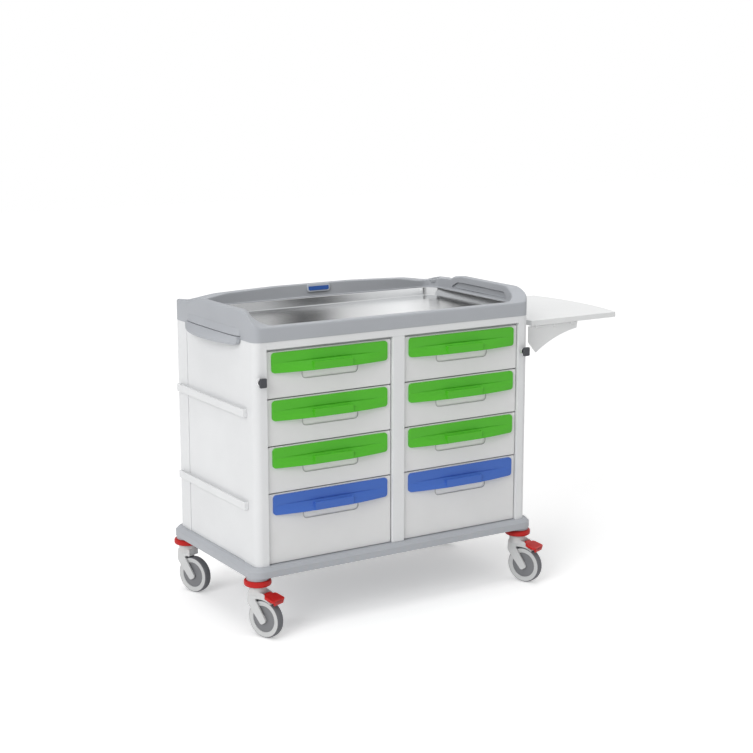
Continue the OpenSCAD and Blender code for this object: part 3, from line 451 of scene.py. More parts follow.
def bead_tree():
    """Round bead along the edges of a wire."""
    tree, given = new_tree("bead", [("Wire", "NodeSocketGeometry"), ("Radius", "NodeSocketFloat"),
                                    ("Finish", "NodeSocketMaterial")])
    path = tree.nodes.new("GeometryNodeMeshToCurve")
    ring = tree.nodes.new("GeometryNodeCurvePrimitiveCircle")
    ring.inputs["Resolution"].default_value = 8
    skin = tree.nodes.new("GeometryNodeCurveToMesh")
    skin.inputs["Fill Caps"].default_value = True
    tree.links.new(given["Wire"], path.inputs["Mesh"])
    tree.links.new(given["Radius"], ring.inputs["Radius"])
    tree.links.new(path.outputs["Curve"], skin.inputs["Curve"])
    tree.links.new(ring.outputs["Curve"], skin.inputs["Profile Curve"])
    return end_tree(tree, skin.outputs["Mesh"], given["Finish"])


def row_tree():
    """Row of equal blocks."""
    tree, given = new_tree("row", [("Wire", "NodeSocketGeometry"), ("Count", "NodeSocketInt"),
                                   ("First", "NodeSocketVector"), ("Step", "NodeSocketVector"),
                                   ("Block", "NodeSocketVector"), ("Finish", "NodeSocketMaterial")])
    line = tree.nodes.new("GeometryNodeMeshLine")
    block = tree.nodes.new("GeometryNodeMeshCube")
    place = tree.nodes.new("GeometryNodeInstanceOnPoints")
    tree.links.new(given["Count"], line.inputs["Count"])
    tree.links.new(given["First"], line.inputs["Start Location"])
    tree.links.new(given["Step"], line.inputs["Offset"])
    tree.links.new(given["Block"], block.inputs["Size"])
    tree.links.new(line.outputs["Mesh"], place.inputs["Points"])
    tree.links.new(block.outputs["Mesh"], place.inputs["Instance"])
    return end_tree(tree, place.outputs["Instances"], given["Finish"])


def grown(tree, wire=(), **values):
    """Mesh that a tree makes from its inputs, along a wire of points if it needs one."""
    start = bmesh.new()
    points = [start.verts.new(point) for point in wire]
    for a, b in zip(points, points[1:]):
        start.edges.new((a, b))
    mesh = bpy.data.meshes.new("start")
    start.to_mesh(mesh)
    start.free()
    holder = bpy.data.objects.new("start", mesh)
    bpy.context.scene.collection.objects.link(holder)
    grow = holder.modifiers.new("grow", "NODES")
    grow.node_group = tree
    for item in tree.interface.items_tree:
        if item.name in values:
            grow[item.identifier] = values[item.name]
    made_solid(holder)
    bm = bmesh.new()
    bm.from_mesh(holder.data)
    bpy.data.objects.remove(holder)
    return bm


BEAD = bead_tree()
ROW = row_tree()


# Camera, lights and stage

def set_camera():
    """Camera where the photograph was taken from."""
    data = bpy.data.cameras.new("camera")
    data.lens = CAMERA_LENS
    data.sensor_width = CAMERA_SENSOR
    data.clip_end = 60
    camera = bpy.data.objects.new("camera", data)
    camera.location = CART_MIDDLE + CAMERA_PLACE
    camera.rotation_euler = (math.pi / 2 - CAMERA_PITCH, 0, -CAMERA_HEADING)
    bpy.context.scene.collection.objects.link(camera)
    bpy.context.scene.camera = camera


def set_lamp(name, place, aim, size, power):
    """Soft lamp, which no gloss shows."""
    data = bpy.data.lights.new(name, "AREA")
    data.shape = "RECTANGLE"
    data.size, data.size_y = size
    data.energy = power
    lamp = bpy.data.objects.new(name, data)
    lamp.location = CART_MIDDLE + Vector(place)
    lamp.rotation_euler = (CART_MIDDLE + Vector(aim) - lamp.location).to_track_quat("-Z", "Y").to_euler()
    lamp.visible_glossy = False
    bpy.context.scene.collection.objects.link(lamp)


def seen_directly(tree):
    """One where a ray comes from the camera, a mirror or glass, and nothing where it carries light."""
    path = tree.nodes.new("ShaderNodeLightPath")
    total = path.outputs["Is Camera Ray"]
    for label in ("Is Glossy Ray", "Is Transmission Ray"):
        either = tree.nodes.new("ShaderNodeMath")
        either.operation = "MAXIMUM"
        tree.links.new(total, either.inputs[0])
        tree.links.new(path.outputs[label], either.inputs[1])
        total = either.outputs["Value"]
    return total


def set_world(strength):
    """White surroundings that light the cart at this strength."""
    world = bpy.data.worlds.new("studio")
    bpy.context.scene.world = world
    world.use_nodes = True
    tree = world.node_tree
    light = tree.nodes["Background"]
    light.inputs["Color"].default_value = (1, 1, 1, 1)
    light.inputs["Strength"].default_value = strength
    shown = tree.nodes.new("ShaderNodeBackground")
    shown.inputs["Color"].default_value = (1, 1, 1, 1)
    shown.inputs["Strength"].default_value = 1.0
    mix = tree.nodes.new("ShaderNodeMixShader")
    tree.links.new(seen_directly(tree), mix.inputs["Fac"])
    tree.links.new(light.outputs["Background"], mix.inputs[1])
    tree.links.new(shown.outputs["Background"], mix.inputs[2])
    tree.links.new(mix.outputs["Shader"], tree.nodes["World Output"].inputs["Surface"])


FLOOR_HALF = 14.0
FLOOR_COLOUR = (0.95, 0.95, 0.95, 1)
FLOOR_ROUGHNESS = 0.9
FLOOR_LIFT = 0.33
FLOOR_GLOW = 1.1
# Distances from the cart over which the floor goes over into the background
FADE_FROM, FADE_TO = 1.62, 3.6


def stage_panel(name, corners, finish):
    """Flat panel of the stage, which is no piece of the cart."""
    bm = bmesh.new()
    bm.faces.new([bm.verts.new(CART_MIDDLE + Vector(corner)) for corner in corners])
    mesh = bpy.data.meshes.new(name)
    bm.to_mesh(mesh)
    bm.free()
    mesh.materials.append(finish)
    panel = bpy.data.objects.new(name, mesh)
    bpy.context.scene.collection.objects.link(panel)
    return panel


def floor_white():
    """Matt white that keeps the shadow near the cart and fades into the background."""
    finish, tree, shader = new_finish("floor white")
    shader.inputs["Base Color"].default_value = FLOOR_COLOUR
    shader.inputs["Roughness"].default_value = FLOOR_ROUGHNESS
    shader.inputs["Specular IOR Level"].default_value = 0.0
    lift = tree.nodes.new("ShaderNodeEmission")
    lift_share = tree.nodes.new("ShaderNodeMath")
    lift_share.operation = "MULTIPLY"
    lift_share.inputs[1].default_value = FLOOR_LIFT
    near = tree.nodes.new("ShaderNodeAddShader")
    glow = tree.nodes.new("ShaderNodeEmission")
    glow.inputs["Strength"].default_value = FLOOR_GLOW
    place = tree.nodes.new("ShaderNodeTexCoord")
    apart = tree.nodes.new("ShaderNodeVectorMath")
    apart.operation = "DISTANCE"
    apart.inputs[1].default_value = CART_MIDDLE
    fade = range_node(tree, FADE_FROM, FADE_TO, 0.0, 1.0)
    fade.interpolation_type = "SMOOTHSTEP"
    share = tree.nodes.new("ShaderNodeMath")
    share.operation = "MULTIPLY"
    mix = tree.nodes.new("ShaderNodeMixShader")
    seen = seen_directly(tree)
    link = tree.links.new
    link(place.outputs["Object"], apart.inputs[0])
    link(apart.outputs["Value"], fade.inputs["Value"])
    link(fade.outputs["Result"], share.inputs[0])
    link(seen, share.inputs[1])
    link(seen, lift_share.inputs[0])
    link(lift_share.outputs["Value"], lift.inputs["Strength"])
    link(shader.outputs["BSDF"], near.inputs[0])
    link(lift.outputs["Emission"], near.inputs[1])
    link(share.outputs["Value"], mix.inputs["Fac"])
    link(near.outputs["Shader"], mix.inputs[1])
    link(glow.outputs["Emission"], mix.inputs[2])
    link(mix.outputs["Shader"], tree.nodes["Material Output"].inputs["Surface"])
    return finish


def set_floor():
    """Floor that the cart stands on."""
    corners = [(x * FLOOR_HALF, y * FLOOR_HALF, 0) for x, y in ((-1, -1), (1, -1), (1, 1), (-1, 1))]
    stage_panel("floor", corners, floor_white())


REFLECTOR_Z = (0.94, 2.3)
# Places along X from the middle of the cart, and tones there
REFLECTOR_TONES = ((0.1, 0.06), (0.25, 0.5), (0.5, 0.7), (0.66, 0.06), (0.76, 0.06), (0.9, 0.8), (1.2, 1.3),
                   (1.4, 0.8), (1.6, 0.06))
REFLECTOR_UNSEEN_BY = ("camera", "diffuse", "shadow", "transmission", "volume_scatter")


def reflector_glow(name, x0, x1):
    """Light and dark stretches from one place along X to another."""
    finish, tree, _ = new_finish(name)
    place = tree.nodes.new("ShaderNodeTexCoord")
    parts = tree.nodes.new("ShaderNodeSeparateXYZ")
    along = range_node(tree, CART_MIDDLE.x + x0, CART_MIDDLE.x + x1, 0.0, 1.0)
    tones = tree.nodes.new("ShaderNodeValToRGB")
    stops = tones.color_ramp.elements
    for i, (x, tone) in enumerate(REFLECTOR_TONES):
        at = max(0.0, (x - x0) / (x1 - x0))
        stop = stops[i] if i < len(stops) else stops.new(at)
        stop.position = at
        stop.color = (tone, tone, tone, 1)
    glow = tree.nodes.new("ShaderNodeEmission")
    tree.links.new(place.outputs["Object"], parts.inputs["Vector"])
    tree.links.new(parts.outputs["X"], along.inputs["Value"])
    tree.links.new(along.outputs["Result"], tones.inputs["Fac"])
    tree.links.new(tones.outputs["Color"], glow.inputs["Color"])
    tree.links.new(glow.outputs["Emission"], tree.nodes["Material Output"].inputs["Surface"])
    return finish


def set_reflector(name, x0, x1, y):
    """Studio reflector, which only gloss shows."""
    z0, z1 = REFLECTOR_Z
    corners = [(x0, y, z0), (x1, y, z0), (x1, y, z1), (x0, y, z1)]
    panel = stage_panel(name, corners, reflector_glow(name, x0, x1))
    for kind in REFLECTOR_UNSEEN_BY:
        setattr(panel, f"visible_{kind}", False)


set_camera()
set_world(0.42)
set_lamp("key", (-9.5, -5.0, 6.5), (0, 0, 0.5), (6.0, 6.0), 600)
set_lamp("top", (0.0, 0.0, 5.0), (0, 0, 0), (5.0, 4.0), 100)
set_floor()
set_reflector("reflector_back", -1.4, 1.8, 1.5)
set_reflector("reflector_front", 0.2, 1.8, -0.99)
bpy.context.scene.view_settings.view_transform = "Standard"
bpy.context.scene.cycles.caustics_reflective = False


# Cabinet, base and top

# Node, finish, radius of its edges in millimetres, and steps round them
SOFT_NODES = [
    ("base_bumper", GREY_MOULDING, 2.5, 3),
    ("front_left_post", WHITE_SHELL, 1.0, 2), ("front_right_post", WHITE_SHELL, 1.0, 2),
    ("rear_posts", WHITE_SHELL, 1.0, 2), ("left_panel", WHITE_SHELL, 1.0, 2),
    ("right_panel", WHITE_SHELL, 1.0, 2), ("back_panel", WHITE_SHELL, 1.0, 2),
    ("centre_wall", WHITE_SHELL, 1.5, 3), ("header_strip", WHITE_SHELL, 0.8, 2),
    ("accessory_rails", WHITE_SHELL, 2.5, 3), ("shelf_bracket", WHITE_SHELL, 0.8, 2),
    ("shelf_leaf", SHELF_WHITE, 1.5, 3),
    ("front_wing", SHELF_WHITE, 0.8, 2), ("rear_wing", SHELF_WHITE, 0.8, 2),
    ("lock_barrels", LOCK_CHROME, 0.6, 2),
    ("left_key", KEY_DARK, 1.2, 3), ("right_key", KEY_DARK, 1.2, 3),
    ("drawer_runners", RUNNER_ZINC, 0.4, 2),
    ("hinge_pin", HINGE_STEEL, 0.4, 2), ("bracket_screws", HINGE_STEEL, 0.4, 2),
]
for node, finish, width, segments in SOFT_NODES:
    softened(node, finish, width * MM, segments)
for drawer in DRAWERS:
    softened(f"{drawer}_front", DRAWER_FRONT, 1.2 * MM, 3)
    softened(f"{drawer}_tray", DRAWER_TRAY, 0.8 * MM, 2)


def ring_outline(half_w, half_d, corner, steps=10, between=0):
    """Rounded rectangle round the middle of the cart, anticlockwise, with points between its corners."""
    arcs = []
    for sx, sy, first in ((1, 1, 0), (-1, 1, 90), (-1, -1, 180), (1, -1, 270)):
        middle = CART_MIDDLE.xy + Vector((sx * (half_w - corner), sy * (half_d - corner)))
        turns = swept(first, first + 90, steps)
        arcs.append([middle + corner * Vector((math.cos(a), math.sin(a))) for a in turns])
    points = []
    for arc, following in zip(arcs, arcs[1:] + arcs[:1]):
        points += arc
        points += [arc[-1].lerp(following[0], k / (between + 1)) for k in range(1, between + 1)]
    return points


TOP_LOW, TOP_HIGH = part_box("top_surround")
GALLERY_LOW, GALLERY_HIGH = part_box("back_gallery")
TOP_HALF_W = (GALLERY_HIGH.x - GALLERY_LOW.x) / 2
TOP_HALF_D = (GALLERY_HIGH.y - TOP_LOW.y) / 2
TOP_CORNER = 28 * MM
WELL_HALF_W = TOP_HALF_W - 37 * MM
WELL_HALF_D = TOP_HALF_D - 33 * MM
WELL_CORNER = 51 * MM
WELL_LEDGE = 4 * MM
DECK = 5.8 * MM
LIP_Z = TOP_LOW.z + 47 * MM
RIM_Z = TOP_LOW.z + 39 * MM
RIM_STEP = 2 * MM
WALL_LEAN = 8 * MM
WALL_RUN = 80 * MM
GALLERY_END_Z = GALLERY_LOW.z + 62 * MM
# Shares of the half depth, and of the wall's rise there
WALL_STEPS = ((0.35, 1.0), (0.56, 0.72), (0.63, 0.34), (0.67, 0.47), (1.0, 0.28))
# Shares of the half width, and of the gallery's rise there
GALLERY_STEPS = ((0.29, 1.0), (0.56, 0.8), (0.73, 0.64), (0.8, 0.4), (0.87, 0.14), (0.92, 0.0))
# Shifts over which those steps are averaged
EDGE_BLUR = [k * 3 * MM for k in range(-3, 4)]


def along_steps(steps, at):
    """Value at a place along a chain of (place, value) steps."""
    for (a, low), (b, high) in zip(steps, steps[1:]):
        if at <= b:
            return low if at <= a else low + (high - low) * (at - a) / (b - a)
    return steps[-1][1]


def blurred(steps, at, length):
    """Chain of steps with its corners rounded off."""
    return sum(along_steps(steps, (at + shift) / length) for shift in EDGE_BLUR) / len(EDGE_BLUR)


def wall_height(y):
    """Top of a side wall: it swells up behind the lip and dips before the pole's corner."""
    past = y + TOP_HALF_D
    rise = TOP_HIGH.z - LIP_Z
    if past < WALL_RUN:
        arc = (WALL_RUN ** 2 + rise ** 2) / (2 * rise)
        return TOP_HIGH.z - arc + math.sqrt(arc ** 2 - (WALL_RUN - past) ** 2)
    return GALLERY_END_Z + (TOP_HIGH.z - GALLERY_END_Z) * blurred(WALL_STEPS, y, TOP_HALF_D)


def gallery_height(x):
    """Top of the gallery: level in the middle, and stepped down to the poles' corners."""
    return GALLERY_END_Z + (GALLERY_HIGH.z - GALLERY_END_Z) * blurred(GALLERY_STEPS, abs(x), TOP_HALF_W)


def moulding_height(place):
    """Top of the moulding at a point of its outline."""
    x, y = place - CART_MIDDLE.xy
    past = max(0.0, y - (TOP_HALF_D - TOP_CORNER)) / TOP_CORNER
    if past <= 0:
        return wall_height(y)
    round_corner = min(1.0, math.asin(min(past, 1.0)) / (math.pi / 2))
    return wall_height(TOP_HALF_D - TOP_CORNER) * (1 - round_corner) + gallery_height(x) * round_corner


def wall_section(high, thick):
    """Section of the moulding, as distance from its outer face and height."""
    lean = WALL_LEAN * (high - RIM_Z) / (TOP_HIGH.z - RIM_Z)
    foot = thick - WELL_LEDGE
    corners = [(0, TOP_LOW.z, 1.2), (0, high, 8), (foot - lean, high, 6), (foot, RIM_Z + RIM_STEP, 1.5),
               (thick, RIM_Z, 1.5), (thick, TOP_LOW.z, 0)]
    return filleted([(u, v, radius * MM) for u, v, radius in corners])


PANEL_DEEP = 26.0 * MM
PANEL_OPEN = 20 * MM
PANEL_SHADE_RADIUS = 0.9 * MM
PANEL_CORNER = 9 * MM
# In y from the middle and z from the foot of the surround, in millimetres
PANEL_EDGE = ((-203, 48), (142, 48), (102, 69), (-178, 69))


def panel_outline():
    """Edge of the shallow panel in a side wall, in y and z."""
    return filleted([(y * MM, TOP_LOW.z + z * MM, PANEL_CORNER) for y, z in PANEL_EDGE], 6)


def sunk_panel(side):
    """Space of the shallow panel in a side wall's inner face."""
    deep, open_end = side * (TOP_HALF_W - PANEL_DEEP), side * (WELL_HALF_W - PANEL_OPEN)
    space = extruded(panel_outline(), min(deep, open_end), max(deep, open_end))
    return moved(space, Matrix.Translation(CART_MIDDLE))


def panel_shade_line(side):
    """Edge of the shallow panel, on the wall's leaning inner face, where a dark bead of painted shade runs."""
    outline = panel_outline()
    foot = TOP_HALF_W - WELL_HALF_W - WELL_LEDGE
    wire = []
    for y, z in outline + outline[:1]:
        lean = WALL_LEAN * (z - RIM_Z - RIM_STEP) / (TOP_HIGH.z - RIM_Z - RIM_STEP)
        wire.append((CART_MIDDLE.x + side * (TOP_HALF_W - foot + lean), CART_MIDDLE.y + y, z))
    return wire


POLE_MOUNTS = [mount for mount in frame["record"]["mounts"] if mount["name"].startswith("pole_socket")]
COLLAR_R = 20 * MM
COLLAR_H = 11 * MM
COLLAR_GAP = 0.3 * MM


def pole_space(mount):
    """Space of a pole's bore, and of the collar round its mouth."""
    x, y, z = mount["pos_m"]
    bore, deep = mount["dims"]["r_mm"] * MM, mount["dims"]["length_mm"] * MM
    wide = COLLAR_R + COLLAR_GAP
    profile = [(0, -deep), (bore, -deep), (bore, -COLLAR_H), (wide, -COLLAR_H),
               (wide, COLLAR_R), (0, COLLAR_R)]
    return moved(lathe(profile), Matrix.Translation((x, y, z)))


def pole_collar(mount):
    """Rounded collar at the mouth of a pole's bore."""
    bore = mount["dims"]["r_mm"] * MM
    profile = filleted([(bore, -COLLAR_H, 0), (COLLAR_R, -COLLAR_H, 0), (COLLAR_R, 0, 3 * MM),
                        (bore, 0, 1.5 * MM)])
    bm = moved(lathe(profile), Matrix.Translation(mount["pos_m"]))
    finished(f"{mount['name']}_collar", bm, GREY_MOULDING, "back_gallery")


def top_moulding():
    """Lip, walls and gallery as the one moulding that the eye sees, with its deck under the steel."""
    rings = []
    outer = ring_outline(TOP_HALF_W, TOP_HALF_D, TOP_CORNER, between=64)
    inner = ring_outline(WELL_HALF_W, WELL_HALF_D, WELL_CORNER, between=64)
    for out, into in zip(outer, inner):
        thick = (into - out).length
        way = (into - out) / thick
        rings.append([(out.x + way.x * u, out.y + way.y * u, z)
                      for u, z in wall_section(moulding_height(out), thick)])
    deck = [[(x, y, z) for x, y in ring_outline(WELL_HALF_W, WELL_HALF_D, WELL_CORNER)]
            for z in (TOP_LOW.z, TOP_LOW.z + DECK)]
    bm = joined(loft(rings + rings[:1], closed_ends=False), loft(deck))
    piece = finished("top_moulding", bm, GREY_MOULDING, "top_surround", "top_surround", "back_gallery")
    cut_away(piece, sunk_panel(-1), sunk_panel(1), *[pole_space(mount) for mount in POLE_MOUNTS])
    piece.visible_glossy = False
    # The dark beads round the sunk panels are painted shade of their upper edges
    for name, side in zip(SIDES, (-1, 1)):
        bm = grown(BEAD, panel_shade_line(side), Radius=PANEL_SHADE_RADIUS, Finish=PANEL_PAINTED_SHADE)
        finished(f"{name}_panel_shade_line", bm, PANEL_PAINTED_SHADE, "top_surround", sharp=60)
    for mount in POLE_MOUNTS:
        pole_collar(mount)


PAN_CORNER = 50 * MM
PAN_SHEET = 2 * MM
PAN_ROLL = 1.6 * MM
PAN_FILLET = 5 * MM
PAN_LEAN = 5 * MM
PAN_BEND_STEPS = 8
PAN_ROLL_STEPS = 6


def steel_pan():
    """Pressed pan with a rolled rim, and a round bend between its wall and its floor."""
    low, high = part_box("steel_tray")
    half_w, half_d = (high.x - low.x) / 2, (high.y - low.y) / 2
    floor = low.z + PAN_SHEET
    inner = PAN_FILLET - PAN_SHEET
    path = [(PAN_LEAN + PAN_FILLET * (1 - math.sin(a)), low.z + PAN_FILLET * (1 - math.cos(a)))
            for a in swept(0, 90, PAN_BEND_STEPS)]
    path += [(PAN_ROLL * (1 - math.cos(a)), high.z - PAN_ROLL + PAN_ROLL * math.sin(a))
             for a in swept(0, 180, PAN_ROLL_STEPS)]
    path += [(PAN_LEAN + PAN_SHEET + inner * (1 - math.cos(a)), floor + inner * (1 - math.sin(a)))
             for a in swept(0, 90, PAN_BEND_STEPS)]
    rings = [[(x, y, z) for x, y in ring_outline(half_w - inset, half_d - inset, PAN_CORNER - inset)]
             for inset, z in path]
    finished("steel_pan", loft(rings), BRUSHED_TRAY, "steel_tray", "steel_tray", sharp=50)


# Shares of the plate that its blue face takes, and how far the face stands out
BADGE_FACE = (0.9, 1.0, 0.64, 1.0)
BADGE_STAND = 0.5 * MM


def badge():
    """Blue plate in a pale rim, which no gloss shows."""
    rim = softened("badge_plate", BADGE_RIM, 0.8 * MM, 2)
    low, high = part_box("badge_plate")
    middle = (low + high) / 2
    out = Matrix.Translation(middle + Vector((0, -BADGE_STAND, 0)))
    bm = moved(node_copy("badge_plate"), out @ Matrix.Diagonal(BADGE_FACE) @ Matrix.Translation(-middle))
    face = round_edges(finished("badge_face", bm, BADGE_BLUE, "badge_plate"), 0.4 * MM, 2)
    rim.visible_glossy = face.visible_glossy = False


def bowed(half, reach, end, at):
    """How far an arc of this half length stands out, from its middle's reach to its end's."""
    sag = reach - end
    radius = (half * half + sag * sag) / (2 * sag)
    return math.sqrt(max(radius * radius - at * at, 0)) - radius + reach


def columns(half, corner, marks, spacing):
    """Places along a piece: close together at its rounded ends and at marked steps."""
    places = {half - corner * (1 - math.cos(a)) for a in swept(0, 90, 6)}
    places |= {half - corner, *marks}
    count = int((half - corner) / spacing)
    places |= {k * (half - corner) / count for k in range(count)}
    return sorted(places | {-place for place in places})


def corner_drop(at, half, corner):
    """How far a rounded corner takes the edge back at a place along a piece."""
    past = abs(at) - (half - corner)
    return 0.0 if past <= 0 else corner - math.sqrt(max(corner * corner - past * past, 0))


GRIP_PLATE = 6 * MM
GRIP_BOW = 22 * MM
GRIP_CREASE = 31 * MM
GRIP_CREASE_BACK = 19 * MM
GRIP_GROOVE = 2.2 * MM
GRIP_CORNER = 11 * MM
GRIP_SPACING = 15 * MM
# Share of the half length within which the groove runs, and how sharply it ends there
GROOVE_SHARE, GROOVE_POWER = 0.92, 4
FLARE_MID = 16 * MM
FLARE_SHARE = 0.62
THUMB_HALF = 72 * MM
THUMB_TOP = 27 * MM
THUMB_FACE = 25.5 * MM
FINGER_HALF = 116 * MM
FINGER_DEEP = 15.5 * MM
FINGER_TOP = 17.5 * MM
FINGER_BACK = 2 * MM
STEP_RUN = 0.6 * MM
BLUE_ROW = "4"


def grip_section(at, half, height):
    """Section of a drawer handle: plate, crease, flared grip or upright thumb block, and finger hollow."""
    bow = GRIP_PLATE + bowed(half, GRIP_BOW, 0, at)
    brow = max(bow - GRIP_CREASE_BACK, GRIP_PLATE)
    groove = GRIP_GROOVE * max(0.0, 1 - (abs(at) / (GROOVE_SHARE * half)) ** GROOVE_POWER)
    middle = brow + (bow - brow) * FLARE_SHARE
    slant = brow + (middle - brow) * (GRIP_CREASE - THUMB_TOP) / (GRIP_CREASE - FLARE_MID)
    if abs(at) < THUMB_HALF:
        face = [(slant, THUMB_TOP, 0.3), (THUMB_FACE, THUMB_TOP - 0.3 * MM, 1.2),
                (THUMB_FACE, FLARE_MID, 1), (THUMB_FACE, 0, 2.4)]
    else:
        face = [(slant, THUMB_TOP, 0.3), (slant + 0.4 * MM, THUMB_TOP - 0.4 * MM, 0.3),
                (middle, FLARE_MID, 8), (bow, 0, 2.4)]
    if abs(at) < FINGER_HALF:
        inside = [(FINGER_DEEP, 0, 1.4), (FINGER_DEEP, FINGER_TOP, 3), (FINGER_BACK, FINGER_TOP, 0.5)]
    else:
        inside = [(0, 0, 0), (0, FINGER_TOP / 3, 0), (0, FINGER_TOP / 2, 0)]
    corners = [(0, height, 0), (GRIP_PLATE, height, 1.8), (GRIP_PLATE, GRIP_CREASE + 3 * MM, 1.5),
               (GRIP_PLATE - groove, GRIP_CREASE + 0.6 * MM, 0.3), (brow, GRIP_CREASE - 0.8 * MM, 0.8)]
    corners += face + inside + [(0, FINGER_TOP + MM, 0)]
    return filleted([(u, v, radius * MM) for u, v, radius in corners])


def drawer_handle(drawer):
    """Bowed handle along the top of a drawer's front."""
    node = f"{drawer}_handle"
    low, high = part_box(node)
    half, height = (high.x - low.x) / 2, high.z - low.z
    middle = (low.x + high.x) / 2
    marks = (THUMB_HALF, THUMB_HALF - STEP_RUN, FINGER_HALF, FINGER_HALF - STEP_RUN)
    rings = []
    for at in columns(half, GRIP_CORNER, marks, GRIP_SPACING):
        drop = corner_drop(at, half, GRIP_CORNER)
        rings.append([(middle + at, high.y - u, low.z + min(max(v, drop), height - drop))
                      for u, v in grip_section(at, half, height)])
    finish = HANDLE_BLUE if drawer.endswith(BLUE_ROW) else HANDLE_GREEN
    finished(f"{drawer}_grip", loft(rings), finish, node, node, sharp=40)


SCOOP_HALF = 102.5 * MM
SCOOP_RISE = 4 * MM
SCOOP_DROP = 27 * MM
SCOOP_CORNER = 15 * MM
SCOOP_SHADE_RADIUS = 1.3 * MM
SCOOP_DEEP = 4 * MM
SCOOP_SKIN = 1.6 * MM
SWAP_X_Y = Matrix(((0, 1, 0, 0), (1, 0, 0, 0), (0, 0, 1, 0), (0, 0, 0, 1)))


def scoop(drawer):
    """Floor of the scoop below a handle, paler than the front as painted light, and a grey bead along its edge as
    painted shade.
    """
    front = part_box(f"{drawer}_front")[0].y
    low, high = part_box(f"{drawer}_handle")
    middle = (low.x + high.x) / 2
    top, foot = low.z + SCOOP_RISE, low.z - SCOOP_DROP
    corners = [(-SCOOP_HALF, top, 0), (-SCOOP_HALF, foot, SCOOP_CORNER), (SCOOP_HALF, foot, SCOOP_CORNER),
               (SCOOP_HALF, top, 0)]
    outline = [(middle + u, v) for u, v in filleted(corners, 8)]
    # The pale plate on the scoop's floor is painted light against the shade under the handle
    floor = front + SCOOP_DEEP
    plate = moved(extruded(outline, floor - SCOOP_SKIN, floor), SWAP_X_Y)
    bmesh.ops.reverse_faces(plate, faces=plate.faces)
    finished(f"{drawer}_scoop_floor_painted_light", plate, SCOOP_PAINTED_LIGHT, f"{drawer}_front")
    # The grey bead round the scoop is painted shade of a groove at its edge
    bead = grown(BEAD, [(x, front, z) for x, z in outline], Radius=SCOOP_SHADE_RADIUS, Finish=SCOOP_PAINTED_SHADE)
    bmesh.ops.remove_doubles(bead, verts=bead.verts, dist=WELD)
    finished(f"{drawer}_scoop_shade_line", bead, SCOOP_PAINTED_SHADE, f"{drawer}_front", sharp=60)


PUSH_TOP = 15 * MM
PUSH_END = 12 * MM
PUSH_EDGE = 6 * MM
PUSH_WALL = 6 * MM
PUSH_CORNER = 16 * MM
PUSH_SPACING = 14 * MM
PUSH_HOLLOW_HALF = 155 * MM
PUSH_HOLLOW_RUN = 2 * MM


def push_handle():
    """Bowed grip under the side of the surround, hollow for fingers."""
    low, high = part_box("push_handle")
    half, height = (high.y - low.y) / 2, high.z - low.z
    middle = (low.y + high.y) / 2
    rings = []
    roof = height - PUSH_WALL
    marks = (PUSH_HOLLOW_HALF, PUSH_HOLLOW_HALF - PUSH_HOLLOW_RUN)
    for at in columns(half, PUSH_CORNER, marks, PUSH_SPACING):
        top = bowed(half, PUSH_TOP, PUSH_END, at)
        out = bowed(half, high.x - low.x, PUSH_END, at)
        if abs(at) < PUSH_HOLLOW_HALF:
            inside = [(out - PUSH_WALL, 0, 1.5), (out - PUSH_WALL, PUSH_EDGE, 3), (top - PUSH_WALL, roof, 3)]
        else:
            inside = [(0, 0, 0), (0, roof / 3, 0), (0, roof / 2, 0)]
        corners = [(0, height, 0), (top, height, 2.5), (out, PUSH_EDGE, 6), (out, 0, 3)]
        corners += inside + [(0, roof, 0)]
        drop = corner_drop(at, half, PUSH_CORNER)
        rings.append([(high.x - u, middle + at, low.z + max(v, drop))
                      for u, v in filleted([(u, v, radius * MM) for u, v, radius in corners])])
    finished("push_grip", loft(rings), GREY_MOULDING, "push_handle", "push_handle", sharp=40)


LEDGE_SEAM = 2 * MM
LEDGE_TOP = 24 * MM
LEDGE_ROOT = 2 * MM
LEDGE_BROW = 5 * MM
# Share of the reach that is left at the brow
LEDGE_BROW_SHARE = 0.72
SEAM_BACK = 4 * MM
SEAM_LEAST = 0.5 * MM


def push_ledge():
    """Swelling of the surround over the push handle, and a dark strip of painted shade in the seam between the
    two.
    """
    low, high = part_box("push_handle")
    half, middle = (high.y - low.y) / 2, (low.y + high.y) / 2
    foot, top = high.z + LEDGE_SEAM, high.z + LEDGE_TOP
    ledge, seam = [], []
    for at in columns(half, PUSH_CORNER, (), PUSH_SPACING):
        out = bowed(half, PUSH_TOP, PUSH_END, at) * math.sqrt(max(0.02, 1 - (at / half) ** 6))
        shape = filleted([(-LEDGE_ROOT, foot, 0), (out, foot, 1 * MM),
                          (LEDGE_BROW_SHARE * out, foot + LEDGE_BROW, 6 * MM), (0, top, 4 * MM),
                          (-LEDGE_ROOT, top, 0)])
        ledge.append([(high.x - u, middle + at, v) for u, v in shape])
        back = max(out - SEAM_BACK, SEAM_LEAST)
        seam.append([(high.x - u, middle + at, v)
                     for u, v in ((0, high.z - MM), (back, high.z - MM), (back, foot + MM), (0, foot + MM))])
    finished("push_ledge", loft(ledge), GREY_MOULDING, "top_surround", sharp=40)
    # The dark strip set back in the seam is painted shade, where the gap would lie in shadow
    finished("push_seam_shade", loft(seam), SEAM_PAINTED_SHADE, "push_handle")


top_moulding()
steel_pan()
badge()
push_handle()
push_ledge()
for drawer in DRAWERS:
    drawer_handle(drawer)
    scoop(drawer)


# Casters

WHEEL_R = 62.5 * MM
HOUSING_R = 66.5 * MM
FORK_IN = 16.5 * MM
FORK_OUT = 22.5 * MM
